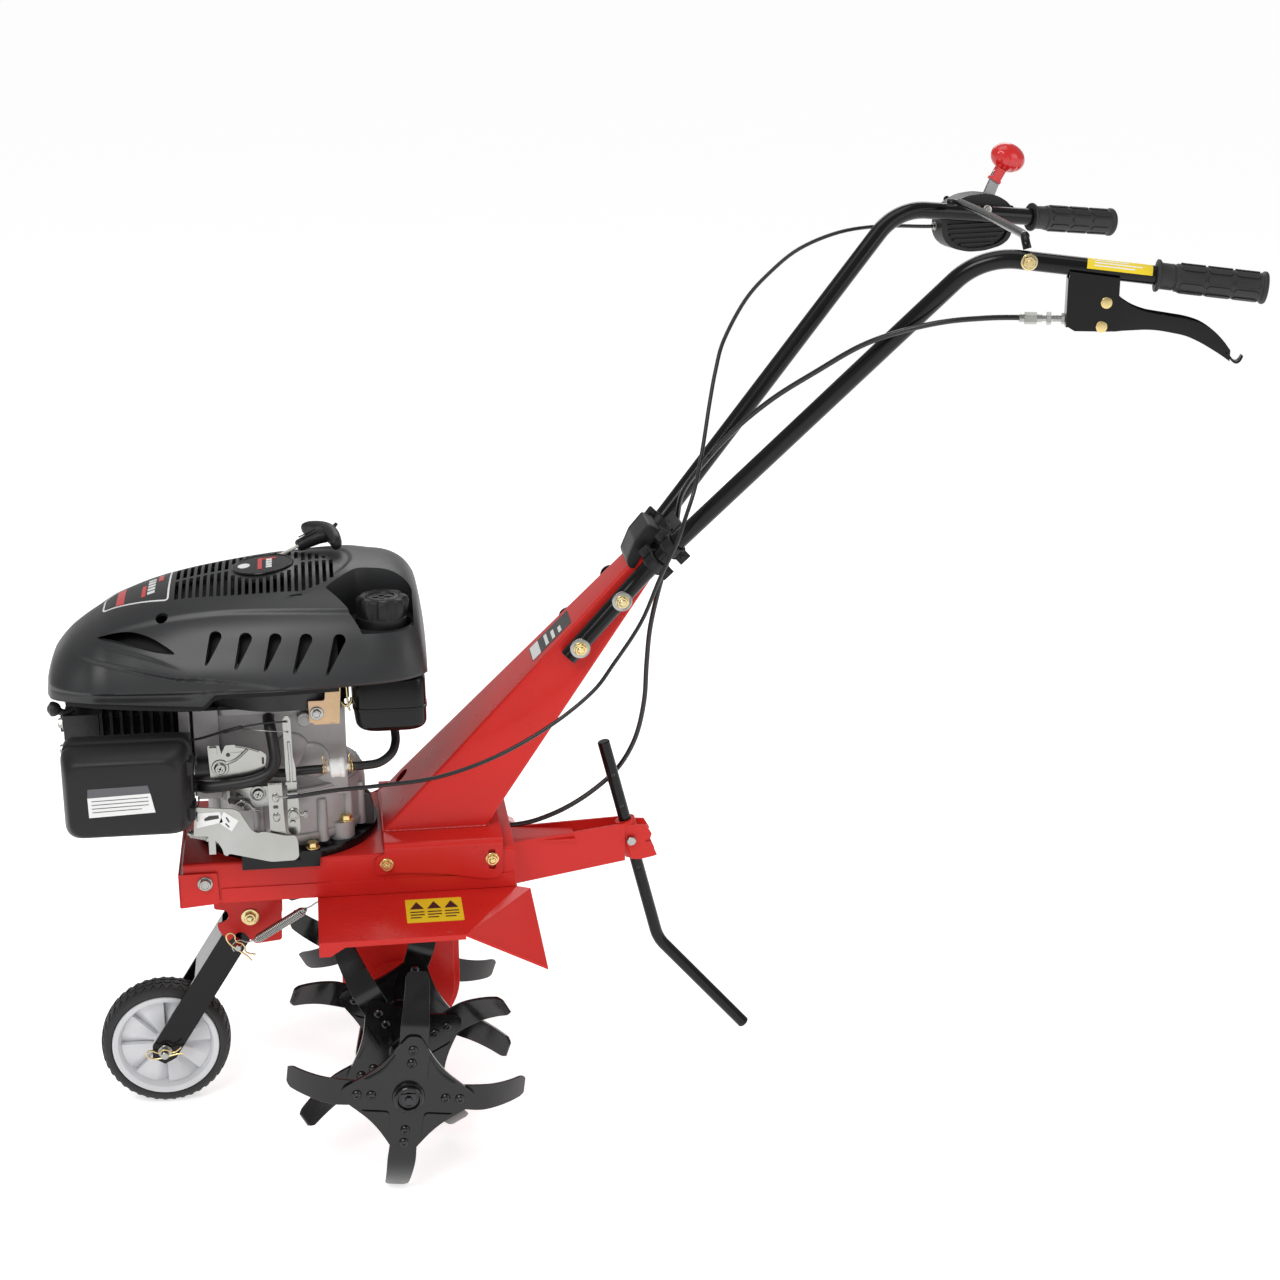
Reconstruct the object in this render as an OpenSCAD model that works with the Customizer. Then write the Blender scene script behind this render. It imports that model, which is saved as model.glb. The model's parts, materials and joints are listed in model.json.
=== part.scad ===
/* [Tines] */
// Radius of the tines from the axle to the tip
tine_r = 143; // [135:1:150]
// Distance from the centre plane to the outer tine star
star_outer_y = 304; // [296:1:310]
// Distance from the centre plane to the middle tine star
star_middle_y = 190; // [184:1:196]
// Distance from the centre plane to the inner tine star
star_inner_y = 84; // [82:1:90]
// Width of a tine at its root
blade_w = 34; // [28:1:36]
// Thickness of the tine steel
blade_t = 4; // [3:0.5:5]

/* [Front wheel] */
// Radius of the tyre
tyre_r = 83; // [78:1:86]
// Width of the tyre
tyre_w = 42; // [36:1:44]
// Distance of the wheel axle in front of the tine axle
wheel_x = -300; // [-306:1:-294]

/* [Frame] */
// Half width of the engine deck
deck_half_w = 105; // [100:1:108]
// Height of the deck's upper face
deck_top = 370; // [368:1:371]
// Height of the deck's lower edge
deck_bottom = 317; // [315:1:318]
// Sheet thickness of the frame
sheet = 3; // [2.5:0.5:3.5]

/* [Handlebar] */
// Outer diameter of the handlebar tube
tube_d = 22; // [20:1:24]
// Half width of the handlebar at the grip ends
handle_half_w = 265; // [250:1:275]
// Height of the grip ends
handle_end_z = 1072; // [1050:1:1080]
// Length of a grip
grip_len = 125; // [115:1:130]
// Diameter of a grip
grip_d = 33; // [30:1:35]

/* [Engine] */
// Distance of the crankshaft in front of the tine axle
crank_x = -130; // [-134:1:-126]
// Wall of the plastic shroud
cowl_wall = 4; // [3:0.5:5]
// Radius of the engine's bolt circle
engine_bolt_r = 102; // [100:1:103]

/* [Hidden] */
$fn = 40;

// Phase of the tine stars, measured from +X towards +Z
star_phase = [-7, 29, 71];
star_y = [star_outer_y, star_middle_y, star_inner_y];
// Which way each tine of a star bends: 1 towards the centre plane, -1 away from it
star_bend = [[1, 1, 1, 1], [-1, 1, -1, 1], [1, -1, 1, -1]];
tip_w = 28;
tip_drop = tine_r * cos(7) + tip_w / 2 * sin(7);
axle_z = tip_drop;

pivot = [-183, 267];           // swing bolt of the wheel fork, x and z
wheel_c = [wheel_x, tyre_r];   // wheel axle, x and z
lock = [-199, 238];            // lock pin of the wheel fork, x and z
lock_swing = 70;               // swing of the fork from one notch to the other
col_pivot = [-11, 357];        // tilt bolt of the steering column, x and z
col_slot = [119, 357];         // slot bolt of the steering column, x and z
front_bolt = [-232, 345];
rail_h = 19;
stake_tilt = atan2(38.5, 151.4);
stake_top = [272, 464];
stake_r = 8;
sleeve_t = 137;                // distance from the top of the stake to the middle of its sleeve
origin_x = 296.6;              // the origin lies under the middle of the length, behind the tine axle

// ---------- helpers ----------
function unit(v) = v / norm(v);
function flat(lists) = [for (l = lists) for (v = l) v];
function catmull(a, b, c, d, t) =
    0.5 * ((2 * b) + (c - a) * t + (2 * a - 5 * b + 4 * c - d) * t * t + (3 * b - a - 3 * c + d) * t * t * t);
function smooth(p, k) = let (n = len(p)) concat(
    [for (i = [0:n - 2], s = [0:k - 1])
        catmull(p[max(i - 1, 0)], p[i], p[i + 1], p[min(i + 2, n - 1)], s / k)],
    [p[n - 1]]);
// Points of a round corner at c between the straight runs to a and b
function corner(a, c, b, r, n) =
    let (u = unit(a - c), v = unit(b - c), half = acos(u * v) / 2, m = c + unit(u + v) * r / sin(half),
         s = c + u * r / tan(half) - m, e = c + v * r / tan(half) - m, turn = 180 - 2 * half)
    [for (i = [0:n]) m + (s * sin(turn * (1 - i / n)) + e * sin(turn * i / n)) / sin(turn)];

module frame() translate([-origin_x, 0, 0]) children();
module both() {
    children();
    mirror([0, 1, 0]) children();
}
module xz(y0, y1) translate([0, y1, 0]) rotate([90, 0, 0]) linear_extrude(y1 - y0) children();
module ycyl(c, y0, y1, r) translate([c[0], y1, c[1]]) rotate([90, 0, 0]) cylinder(h = y1 - y0, r = r);
module box(x0, x1, y0, y1, z0, z1) translate([x0, y0, z0]) cube([x1 - x0, y1 - y0, z1 - z0]);
// A solid cylinder from a to b
module rod(a, b, r, r2 = -1) {
    d = b - a;
    translate(a)
        rotate([0, acos(d[2] / norm(d)), atan2(d[1], d[0])])
            cylinder(h = norm(d), r1 = r, r2 = r2 < 0 ? r : r2);
}
// A round or hollow tube swept along points; ref is never along the path
module sweep(p, r, ri = 0, n = 12, ref = [0, 1, 0]) {
    m = len(p);
    t = [for (i = [0:m - 1]) unit(p[min(i + 1, m - 1)] - p[max(i - 1, 0)])];
    a = [for (i = [0:m - 1]) unit(cross(ref, t[i]))];
    b = [for (i = [0:m - 1]) cross(t[i], a[i])];
    outer = [for (i = [0:m - 1], j = [0:n - 1]) p[i] + r * (cos(360 * j / n) * a[i] + sin(360 * j / n) * b[i])];
    inner = [for (i = [0:m - 1], j = [0:n - 1]) p[i] + ri * (cos(360 * j / n) * a[i] + sin(360 * j / n) * b[i])];
    side = flat([for (i = [0:m - 2], j = [0:n - 1]) let (k = (j + 1) % n)
        [[i * n + j, (i + 1) * n + j, (i + 1) * n + k], [i * n + j, (i + 1) * n + k, i * n + k]]]);
    o = m * n;
    last = (m - 1) * n;
    if (ri <= 0)
        polyhedron(outer, concat(side, [[for (j = [0:n - 1]) j]], [[for (j = [n - 1:-1:0]) last + j]]));
    else
        polyhedron(concat(outer, inner), concat(side,
            [for (f = side) [f[0] + o, f[2] + o, f[1] + o]],
            flat([for (j = [0:n - 1]) let (k = (j + 1) % n)
                [[j, k, o + k], [j, o + k, o + j], [last + j, o + last + k, last + k],
                 [last + j, o + last + j, o + last + k]]])));
}
// A closed skin through rings of points, each ring in a plane of its own
module loft(rings) {
    m = len(rings);
    n = len(rings[0]);
    polyhedron(flat(rings), concat(
        flat([for (i = [0:m - 2], j = [0:n - 1]) let (k = (j + 1) % n)
            [[i * n + j, i * n + k, (i + 1) * n + k], [i * n + j, (i + 1) * n + k, (i + 1) * n + j]]]),
        [[for (j = [n - 1:-1:0]) j]], [[for (j = [0:n - 1]) (m - 1) * n + j]]));
}
module hex_bolt(c, y, side, r = 6, head = 5) {
    ycyl(c, min(y, y + side * 1.5), max(y, y + side * 1.5), r * 1.45);
    translate([c[0], y + side * (1.5 + (side > 0 ? head : 0)), c[1]])
        rotate([90, 0, 0]) cylinder(h = head, r = r, $fn = 6);
}

// ---------- frame ----------
module deck() color("firebrick") frame() difference() {
    union() {
        box(-258, 148, -deck_half_w, deck_half_w, deck_bottom, deck_top);
        both() box(-213, 148, -deck_half_w - 1.5, -deck_half_w, deck_bottom, deck_bottom + rail_h);
    }
    box(-258 + sheet, 148 - sheet, -deck_half_w + sheet, deck_half_w - sheet, deck_bottom + sheet, deck_top - sheet);
    box(-250, -62, -90, 90, deck_bottom - 1, deck_bottom + sheet + 1);
    box(72, 140, -90, 90, deck_bottom - 1, deck_bottom + sheet + 1);
    translate([crank_x, 0, deck_top - sheet - 1]) cylinder(h = sheet + 2, r = 34);
    translate([-26, 12, deck_bottom - 1]) cylinder(h = sheet + 2, r = 12);
    for (p = [[col_pivot, 5.05], [col_slot, 4.05], [front_bolt, 4.2]]) ycyl(p[0], -120, 120, p[1]);
    translate([140, 0, 356]) rotate([0, 90, 0]) cylinder(h = 12, r = 4.5);
}

module wheel_bracket() color("firebrick") frame() difference() {
    union() {
        both() xz(-42, -39) difference() {
            polygon([[-228, 317], [-142, 317], [-146, 232], [-190, 229], [-226, 252]]);
            intersection() {
                difference() {
                    translate(pivot) circle(70);
                    translate(pivot) circle(28.6);
                }
                translate(pivot) polygon([for (a = [171:10:241]) 90 * [cos(a), sin(a)], [0, 0]]);
            }
            for (a = [0, -lock_swing])
                translate(pivot) rotate(a) translate(lock - pivot) circle(4.6);
        }
        box(-228, -142, -42, 42, 314, 317);
        box(-264, -258.2, -deck_half_w - 4, deck_half_w + 4, 312, 358);
        both() box(-264, -216, -deck_half_w - 4, -deck_half_w - 1.8, 312, 358);
    }
    both() ycyl(pivot, -60, -20, 5.05);
    both() ycyl(front_bolt, -120, -90, 4.2);
}

module hitch() color("firebrick") frame() {
    a = [stake_top[0] + sleeve_t * sin(stake_tilt), 0, stake_top[1] - sleeve_t * cos(stake_tilt)];
    d = [sin(stake_tilt), 0, -cos(stake_tilt)];
    difference() {
        union() {
            box(148, 151, -36, 36, 283, 346);
            both() hull() {
                box(151, 153, -28, -25, 285, 342);
                box(296, 298, -14, -11, 303, 354);
            }
            rod(a - 25 * d, a + 25 * d, 13);
            both() xz(-13, -10) polygon([[302, 352], [326, 350], [333, 338], [331, 331], [325, 329], [325, 326],
                [333, 325], [340, 308], [334, 306], [318, 303], [306, 304]]);
            box(151, 232, -25, 25, 339, 342);
        }
        rod(a - 60 * d, a + 60 * d, stake_r + 0.3);
        translate([a[0], 40, a[2]]) rotate([90, 0, 0]) cylinder(h = 80, r = 3.2);
    }
}

module case_outline(grow) {
    translate([5, axle_z]) circle(r = 76 + grow);
    translate([-71 - grow, axle_z]) square([152 + 2 * grow, 249 - axle_z]);
}
module chain_case_half() difference() {
    union() {
        xz(-18, 0) case_outline(-8);
        xz(-2.5, 0) case_outline(0);
        ycyl([0, axle_z], -24, -17, 40);
        ycyl([0, axle_z], -26, -17, 24);
    }
    difference() {
        xz(-15.5, 1) case_outline(-10.5);
        ycyl([0, axle_z], -19, -15, 40);
    }
    box(-30, 30, -15.5, 1, 230, 252);
    ycyl([0, axle_z], -30, 1, 16);
}
module chain_case_left() color("firebrick") frame() chain_case_half();
module chain_case_right() color("firebrick") frame() mirror([0, 1, 0]) chain_case_half();
module shaft_seals() color("dimgray") frame() both() difference() {
    union() {
        ycyl([0, axle_z], -26, -16, 15.9);
        ycyl([0, axle_z], -29, -26, 22);
    }
    ycyl([0, axle_z], -40, 0, 12.55);
}

module gearbox() color("dimgray") frame() difference() {
    union() {
        box(-46, 50, -28, 28, 249, 314);
        box(-60, 70, -75, 75, 314, 317);
        translate([-26, 12, 310]) cylinder(h = 12, r = 11.5);
    }
    box(-40, 45, -24, 24, 254, 310);
    box(-38, 38, -15.5, 15.5, 248, 256);
    translate([-26, 12, 300]) cylinder(h = 30, r = 8.05);
    ycyl([0, counter_z], -32, 32, 7.05);
}

module tine_guard() {
    difference() {
        linear_extrude(2.5) polygon([[-97, -80], [-97, -237], [77, -237], [150, -105], [150, -80]]);
        for (x = [-46, 59]) translate([x, -226, -1]) cylinder(h = 5, r = 3.5);
    }
    hull() {
        translate([77, -237, 0]) cube([0.5, 0.5, 2.5]);
        translate([149.5, -105.5, 0]) cube([0.5, 0.5, 2.5]);
        translate([166, -105, -4]) cube([0.5, 0.5, 2.5]);
        translate([174, -237, -50]) cube([0.5, 0.5, 2.5]);
    }
    translate([0, 0, -314]) xz(-237, -234.5) polygon([[-97, 316], [77, 316], [77, 310], [-66, 309], [-84, 298], [-97, 298]]);
}
module tine_guards() color("firebrick") frame() both() translate([0, 0, deck_bottom - 3]) tine_guard();

// ---------- drive ----------
sprocket_y = [-8, -2];
counter_z = 282;               // height of the countershaft
belt_z = 338;                  // height of the belt's centre line
input_axis = [-26, 12];
drive_r = 36;                  // radius of the pulley on the crankshaft
driven_r = 46;                 // radius of the pulley on the input shaft
module toothed(r, teeth, depth) for (i = [0:teeth - 1]) rotate(i * 360 / teeth)
    translate([r - 1, 0]) polygon([[0, -2.2], [depth + 1, -1], [depth + 1, 1], [0, 2.2]]);
// A grooved pulley with its groove centred on z = 0
module pulley(r) difference() {
    translate([0, 0, -11]) cylinder(h = 22, r = r);
    rotate_extrude() polygon([[r + 1, -7], [r + 1, 7], [r - 8, 3.2], [r - 8, -3.2]]);
}
module input_shaft() color("silver") frame() translate([input_axis[0], input_axis[1], 0]) {
    translate([0, 0, 298]) cylinder(h = 54, r = 8);
    translate([0, 0, belt_z]) pulley(driven_r);
    translate([0, 0, 258]) cylinder(h = 41, r = 6);
    translate([0, 0, 266]) linear_extrude(32, twist = 360 * 6, slices = 108) translate([1, 0]) circle(7.9, $fn = 24);
}
module countershaft() color("silver") frame() translate([0, 0, counter_z]) {
    ycyl([0, 0], -27, 27, 7);
    xz(input_axis[1] - 6, input_axis[1] + 6) union() {
        circle(14.5);
        toothed(14.5, 16, 2);
    }
    xz(sprocket_y[0], sprocket_y[1]) union() {
        circle(17);
        toothed(17, 10, 3);
    }
}
// A belt or chain loop of the given thickness round two circles, seen from above
module loop(r1, r2, gap, thick) difference() {
    hull() {
        circle(r1 + thick);
        translate([gap, 0]) circle(r2 + thick);
    }
    hull() {
        circle(r1);
        translate([gap, 0]) circle(r2);
    }
}
module drive_belt() color("black") frame() {
    way = input_axis - [crank_x, 0];
    translate([crank_x, 0, belt_z]) rotate(atan2(way[1], way[0])) {
        translate([0, 0, -3.3]) linear_extrude(6.6) loop(drive_r - 6.5, driven_r - 6.5, norm(way), 3.5);
        translate([0, 0, -4.6]) linear_extrude(9.2) loop(drive_r - 3, driven_r - 3, norm(way), 3.5);
    }
}
arm_pivot = [-118, -84];       // swing of the belt's tension arm, x and y
idler_c = [-78, -56];
module tension_arm() color("silver") frame() {
    translate([0, 0, 346]) linear_extrude(3) hull() for (p = [arm_pivot, idler_c]) translate(p) circle(8);
    translate([arm_pivot[0], arm_pivot[1], 349]) cylinder(h = 17.9, r = 7);
    translate([idler_c[0], idler_c[1], 331]) cylinder(h = 15, r = 14);
}
module drive_chain() color("dimgray") frame() translate([0, 0, axle_z]) rotate([0, -90, 0]) rotate([90, 0, 0])
    translate([0, 0, -sprocket_y[1] - 1]) linear_extrude(8) loop(43.5, 21, counter_z - axle_z, 5);
module crankshaft() color("silver") frame() translate([crank_x, 0, 0]) {
    translate([0, 0, 324]) cylinder(h = 350, r = 11);
    translate([0, 0, belt_z]) pulley(drive_r);
}
module flywheel() color("dimgray") frame() translate([crank_x, 0, 636]) difference() {
    union() {
        cylinder(h = 14, r = 78);
        cylinder(h = 24, r = 30);
        for (i = [0:15]) rotate(i * 22.5) translate([44, -1.5, 13]) cube([32, 3, 16]);
    }
    translate([0, 0, -1]) cylinder(h = 40, r = 11.2);
}

// ---------- tine rotor ----------
socket_y = 288;                // where the open socket in the end of each hub begins
socket_r = 12.8;
module tine_shaft() color("silver") frame() difference() {
    union() {
        ycyl([0, axle_z], 2 - socket_y, socket_y - 2, 12.5);
        translate([0, 0, axle_z]) xz(sprocket_y[0], sprocket_y[1]) union() {
            circle(39);
            toothed(39, 20, 3.5);
        }
    }
    both() translate([0, -50, axle_z - 30]) cylinder(h = 60, r = 4.1);
}
module star_plate() difference() {
    polygon([for (i = [0:3]) each [for (s = [-1, 1]) rotate2(i * 90 + s * 5, 79), rotate2(i * 90 + 45, 52)]]);
    circle(r = 17.1);
    for (i = [0:3], r = [44, 61]) rotate(i * 90) translate([r, 0]) circle(4.1);
}
function rotate2(a, r) = r * [cos(a), sin(a)];
module star_at(i) translate([0, -star_y[i], axle_z]) rotate([0, -star_phase[i], 0]) children();
module tine_hubs() color("black") frame() both() {
    difference() {
        ycyl([0, axle_z], -316, -31, 17);
        ycyl([0, axle_z], -330, -20, 12.55);
        ycyl([0, axle_z], -330, -socket_y, socket_r);
        translate([0, -50, axle_z - 30]) cylinder(h = 60, r = 4.1);
    }
    for (i = [0:2]) star_at(i) xz(-2, 2) star_plate();
}
// One tine: a flat root on the star's inner face, then two folds towards +Y
module tine() difference() {
    intersection() {
        linear_extrude(blade_w + 4, center = true)
            polygon([[34, 2], [86, 2], [106, 9], [tine_r, 2 + 39], [tine_r, 2 + 39 + blade_t * 1.35],
                [105, 9 + blade_t * 1.15], [85, 2 + blade_t], [34, 2 + blade_t]]);
        xz(-60, 60) polygon([[34, -blade_w / 2 + 2], [90, -blade_w / 2], [tine_r + 1, -tip_w / 2],
            [tine_r + 1, tip_w / 2], [90, blade_w / 2], [34, blade_w / 2 - 2]]);
    }
    for (r = [44, 61]) ycyl([r, 0], -10, 10, 4.1);
}
module tine_blades() color("black") frame() both() for (i = [0:2]) star_at(i)
    for (k = [0:3]) rotate([0, -90 * k, 0])
        if (star_bend[i][k] > 0) tine();
        else translate([0, 4 + blade_t, 0]) mirror([0, 1, 0]) tine();
module tine_bolts() color("dimgray") frame() both() {
    for (i = [0:2]) star_at(i) for (k = [0:3], r = [44, 61]) rotate([0, -90 * k, 0]) {
        ycyl([r, 0], -2, 2 + blade_t, 4);
        ycyl([r, 0], -4.5, -2, 6);
        ycyl([r, 0], 2 + blade_t, 7 + blade_t, 6.5);
    }
    translate([0, -50, axle_z - 24]) cylinder(h = 48, r = 4);
    translate([0, -50, axle_z + 18]) cylinder(h = 6, r = 7, $fn = 6);
    translate([0, -50, axle_z - 24]) cylinder(h = 6, r = 7, $fn = 6);
}

// ---------- front wheel ----------
arm_dir = unit(wheel_c - pivot);
arm_side = [-arm_dir[1], arm_dir[0]];
arm_len = norm(wheel_c - pivot);
function on_arm(t, s) = pivot + t * arm_dir + s * arm_side;
module wheel_fork() color("black") frame() difference() {
    union() {
        both() xz(-35, -31) polygon([on_arm(-20, -12), on_arm(-20, 12), on_arm(-10, 17), on_arm(arm_len + 2, 17),
            on_arm(arm_len + 16, 9), on_arm(arm_len + 16, -9), on_arm(arm_len + 2, -17), on_arm(-10, -17)]);
        xz(-31, 31) polygon([on_arm(44, -17), on_arm(112, -17), on_arm(112, -14), on_arm(44, -14)]);
        both() ycyl(pivot, -38.8, -35, 11);
    }
    both() ycyl(pivot, -60, -20, 5.05);
    both() ycyl(lock, -60, -20, 4.05);
    both() ycyl(wheel_c, -60, -20, 5.05);
}
module fork_pins() color("silver") frame() {
    ycyl(wheel_c, -50, 44, 5);
    ycyl(wheel_c, 35.2, 38, 9);
    ycyl(lock, -72, 50, 4);
}
// A spring clip seen side on: straight leg through the pin, bowed leg over it
module r_clip() sweep(smooth([[22, 0, 5], [8, 0, 1], [-8, 0, -3.5], [-17, 0, -5], [-21, 0, 0], [-17, 0, 5],
    [-11, 0, 3.5], [-6, 0, 7], [0, 0, 9], [7, 0, 7.5], [12, 0, 7.5], [17, 0, 12]], 3), 1.1, 0, 8, [0, 1, 0]);
module r_clips() color("gold") frame() {
    translate([wheel_c[0], -52, wheel_c[1]]) r_clip();
    translate([lock[0], -74, lock[1]]) rotate([0, 60, 0]) r_clip();
}
module wheel_rim() color("lightgray") frame() translate([wheel_c[0], 0, wheel_c[1]]) difference() {
    union() {
        rotate([90, 0, 0]) rotate_extrude() polygon([[60, -19], [67, -21], [68, -18], [64, -14], [62, 0], [64, 14],
            [68, 18], [67, 21], [60, 19], [56, 8], [56, -8]]);
        rotate([90, 0, 0]) cylinder(h = 44, r = 14, center = true);
        xz(-3, 3) circle(60);
        for (i = [0:6]) rotate([0, i * 360 / 7, 0]) box(12, 58, -14, 14, -2, 2);
    }
    rotate([90, 0, 0]) cylinder(h = 60, r = 5.05, center = true);
}
module tyre() color("dimgray") frame() translate([wheel_c[0], 0, wheel_c[1]]) rotate([90, 0, 0]) difference() {
    rotate_extrude() polygon([[64.2, -13.5], [68.3, -17.5], [70, -tyre_w / 2 + 1], [75, -tyre_w / 2],
        [80, -tyre_w / 2 + 4], [tyre_r, -10], [tyre_r, 10], [80, tyre_w / 2 - 4], [75, tyre_w / 2],
        [70, tyre_w / 2 - 1], [68.3, 17.5], [64.2, 13.5], [62.2, 0]]);
    for (i = [0:23], s = [-1, 1]) rotate([0, 0, i * 15 + (s > 0 ? 7.5 : 0)])
        translate([tyre_r, 0, s * 13]) cube([5, 3, 16], center = true);
}
spring_a = [-178, -64, 244];
spring_b = [-112, -110, 304];
module lock_spring() color("silver") frame() {
    difference() {
        rod(spring_a, spring_b, 6.2);
        rod(spring_a - 9 * unit(spring_b - spring_a), spring_b + 9 * unit(spring_b - spring_a), 4.4);
    }
    rod(spring_b, [-99, -119, 313], 1);
    rod([-193, -64, 241], spring_a, 1);
}

// ---------- steering column and handlebar ----------
// Half width of the column's side walls at a height z
wall_low = [416, 66];
wall_high = [716, 29];
function wall_y(z) = wall_low[1] + (z - wall_low[0]) * (wall_high[1] - wall_low[1]) / (wall_high[0] - wall_low[0]);
module column_shell(inset) {
    n = inset;
    loft([
        [[-8 - 2, -68 + n, 384 - n], [-8 - 2, 68 - n, 384 - n], [117 - n, 68 - n, 384 - n], [117 - n, -68 + n, 384 - n]],
        [for (v = [[n, -1], [n, 1], [126 - n, 1], [126 - n, -1]]) [12 + v[0], v[1] * (wall_low[1] - n), wall_low[0]]],
        [for (v = [[n, -1], [n, 1], [38 - n, 1], [38 - n, -1]]) [312 + v[0], v[1] * (wall_high[1] - n), wall_high[0]]]]);
}
// The hairline where a side wall is welded to the front and back walls
module column_seam() loft([for (v = [[380, wall_low[1] + 2], [wall_low[0], wall_low[1]], [wall_high[0] + 1, wall_high[1]]])
    [for (c = [[-50, 2.62], [-50, 2.56], [400, 2.56], [400, 2.62]]) [c[0], c[1] - v[1], v[0]]]]);
module steering_column() color("firebrick") frame() difference() {
    union() {
        difference() {
            column_shell(0);
            translate([0, 0, 0.01]) column_shell(2.5);
            box(-20, 130, -62, 62, 370, 389);
            both() column_seam();
        }
        box(-14, 137, -109, 109, 381, 383.95);
        both() {
            ycyl(col_pivot, -109, -106.6, 18);
            box(-14, 137, -109, -106.6, 366, 384);
            box(-11, 137, -109, -106.6, 339, 370);
        }
    }
    both() ycyl(col_pivot, -120, -100, 5.05);
    both() for (s = [-8:2:8]) ycyl([col_slot[0], col_slot[1] + s], -120, -100, 4.4);
    for (p = handle_holes) ycyl(p, -80, 80, 4.2);
    box(-10, 114, -60, 60, 380, 390);
}
handle_holes = [[236, 612], [289, 668]];
tube_gap = tube_d / 2 * 1.0076 + 0.15;
tube_low = [222, -wall_y(597) - tube_gap, 597];
tube_kink = [318, -wall_y(698) - tube_gap, 698];
tube_bend = [684, -198, 1105];
tube_end = [994, -handle_half_w, handle_end_z];
tube_path = concat([tube_low], corner(tube_low, tube_kink, tube_bend, 120, 4),
    corner(tube_kink, tube_bend, tube_end, 85, 10), [tube_end]);
module handle_tube() difference() {
    sweep(tube_path, tube_d / 2, tube_d / 2 - 2, 20);
    for (p = handle_holes) ycyl(p, -80, -20, 4.2);
}
module handlebar_left() color("black") frame() handle_tube();
module handlebar_right() color("black") frame() mirror([0, 1, 0]) handle_tube();
grip_dir = unit(tube_end - tube_bend);
module handle_grips() color("dimgray") frame() both() {
    a = tube_end - (grip_len - 3) * grip_dir;
    difference() {
        union() {
            rod(a, tube_end + 3 * grip_dir, grip_d / 2);
            rod(a, a + 4 * grip_dir, grip_d / 2 + 2);
            rod(tube_end - 1 * grip_dir, tube_end + 3 * grip_dir, grip_d / 2 + 2);
        }
        rod(a - 2 * grip_dir, tube_end + 0.2 * grip_dir, tube_d / 2 + 0.1);
    }
}
module handle_bolts() color("gold") frame() {
    for (p = handle_holes) {
        y = wall_y(p[1]) + tube_gap + tube_d / 2 + 1.6;
        both() {
            difference() {
                ycyl(p, -y - 1.5, -y, 12.5);
                ycyl(p, -y - 2, -y + 1, 4);
            }
            translate([p[0], -y - 1.5, p[1]]) rotate([90, 0, 0]) cylinder(h = 5, r = 7, $fn = 6);
        }
        ycyl(p, -y - 2, y + 2, 3.9);
    }
    both() translate([733, -220.5, 1099.5]) rotate([90, 0, -12]) cylinder(h = 4, r = 7, $fn = 6);
}
kink_dir = unit(tube_bend - tube_kink);
module collar(t, half) {
    c = tube_kink + t * kink_dir;
    difference() {
        union() {
            rod(c - half * kink_dir, c + half * kink_dir, 15.5);
            translate(c) rotate([0, -48, 0]) cube([2 * half, 5, 52], center = true);
        }
        rod(c - 30 * kink_dir, c + 30 * kink_dir, tube_d / 2 + 0.8);
    }
}
module cable_clip() color("dimgray") frame() difference() {
    union() {
        both() {
            collar(22, 8);
            collar(52, 8);
        }
        translate([350, 0, 736]) rotate([0, -48, 0]) cube([52, 62, 6], center = true);
    }
    column_shell(-0.05);
    translate([360, 11, 745]) cube([26, 16, 60], center = true);
}
module crossbar() color("black") frame()
    sweep(smooth([[733.5, -208.6, 1113], [732, -206, 1119], [733, -192, 1126.5], [741, -100, 1124], [757, 90, 1117],
        [763, 182, 1113], [757, 192, 1112], [749, 194, 1112]], 3), 5, 0, 10, [0.2, 0.1, 0.05]);
// The clutch lever and its bracket lie in the upright plane of the left tube's rear stretch
handle_turn = atan2(tube_end[1] - tube_bend[1], tube_end[0] - tube_bend[0]);
lever_pivot = [822, -198 + (822 - tube_bend[0]) * tan(handle_turn), 1055];
module at_clutch() frame() translate(lever_pivot) rotate(handle_turn) children();
module clutch_bracket() color("black") difference() {
    at_clutch() difference() {
        union() {
            both() xz(-13.5, -11.5) polygon([[-43, 35], [14, 28], [14, -13], [6, -33], [-34, -33], [-44, -27]]);
            box(-44, -41, -11.5, 11.5, -29, 26);
            box(-41, 14, -11.5, 11.5, 20, 22.5);
        }
        ycyl([0, 0], -20, 20, 4);
        translate([-52, 0, -21]) rotate([0, 90, 0]) cylinder(h = 20, r = 4.2);
    }
    frame() rod(tube_bend, tube_end, tube_d / 2 + 0.3);
}
module clutch_lever() color("black") at_clutch() difference() {
    xz(-9, 9) polygon([[-12, 11], [10, 11], [20, 1], [40, -9], [68, -14], [98, -19], [124, -32], [142, -51],
        [153, -63], [158, -59], [156, -67], [148, -68], [122, -52], [96, -38], [58, -31], [24, -30], [8, -34],
        [-10, -34], [-16, -21]]);
    ycyl([0, 0], -20, 20, 4);
    box(-27, -7, -3, 3, -40, -10);
}
module cable_adjuster() color("silver") at_clutch() {
    rod([-81, 0, -21], [-44.5, 0, -21], 3.6);
    rod([-87, 0, -21], [-70, 0, -21], 6);
    rod([-64, 0, -21], [-60, 0, -21], 7);
    ycyl([0, 0], -17, 17, 3.95);
    both() ycyl([0, 0], -19.5, -13.6, 7);
}
housing_c = [800, 252, 1079];
module at_throttle() frame() translate(housing_c) rotate(-handle_turn) children();
module throttle_housing() color("dimgray") at_throttle() difference() {
    union() {
        xz(-17, 17) intersection() {
            square([106, 76], center = true);
            translate([4, 22]) circle(60);
            translate([0, -24]) circle(64);
        }
        rod([-59, 0, -4], [-50, 0, -4], 4);
    }
    xz(-13, 13) translate([-24, -6]) square([68, 66]);
    ycyl([10, 4], -40, 40, 3.05);
}
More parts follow.
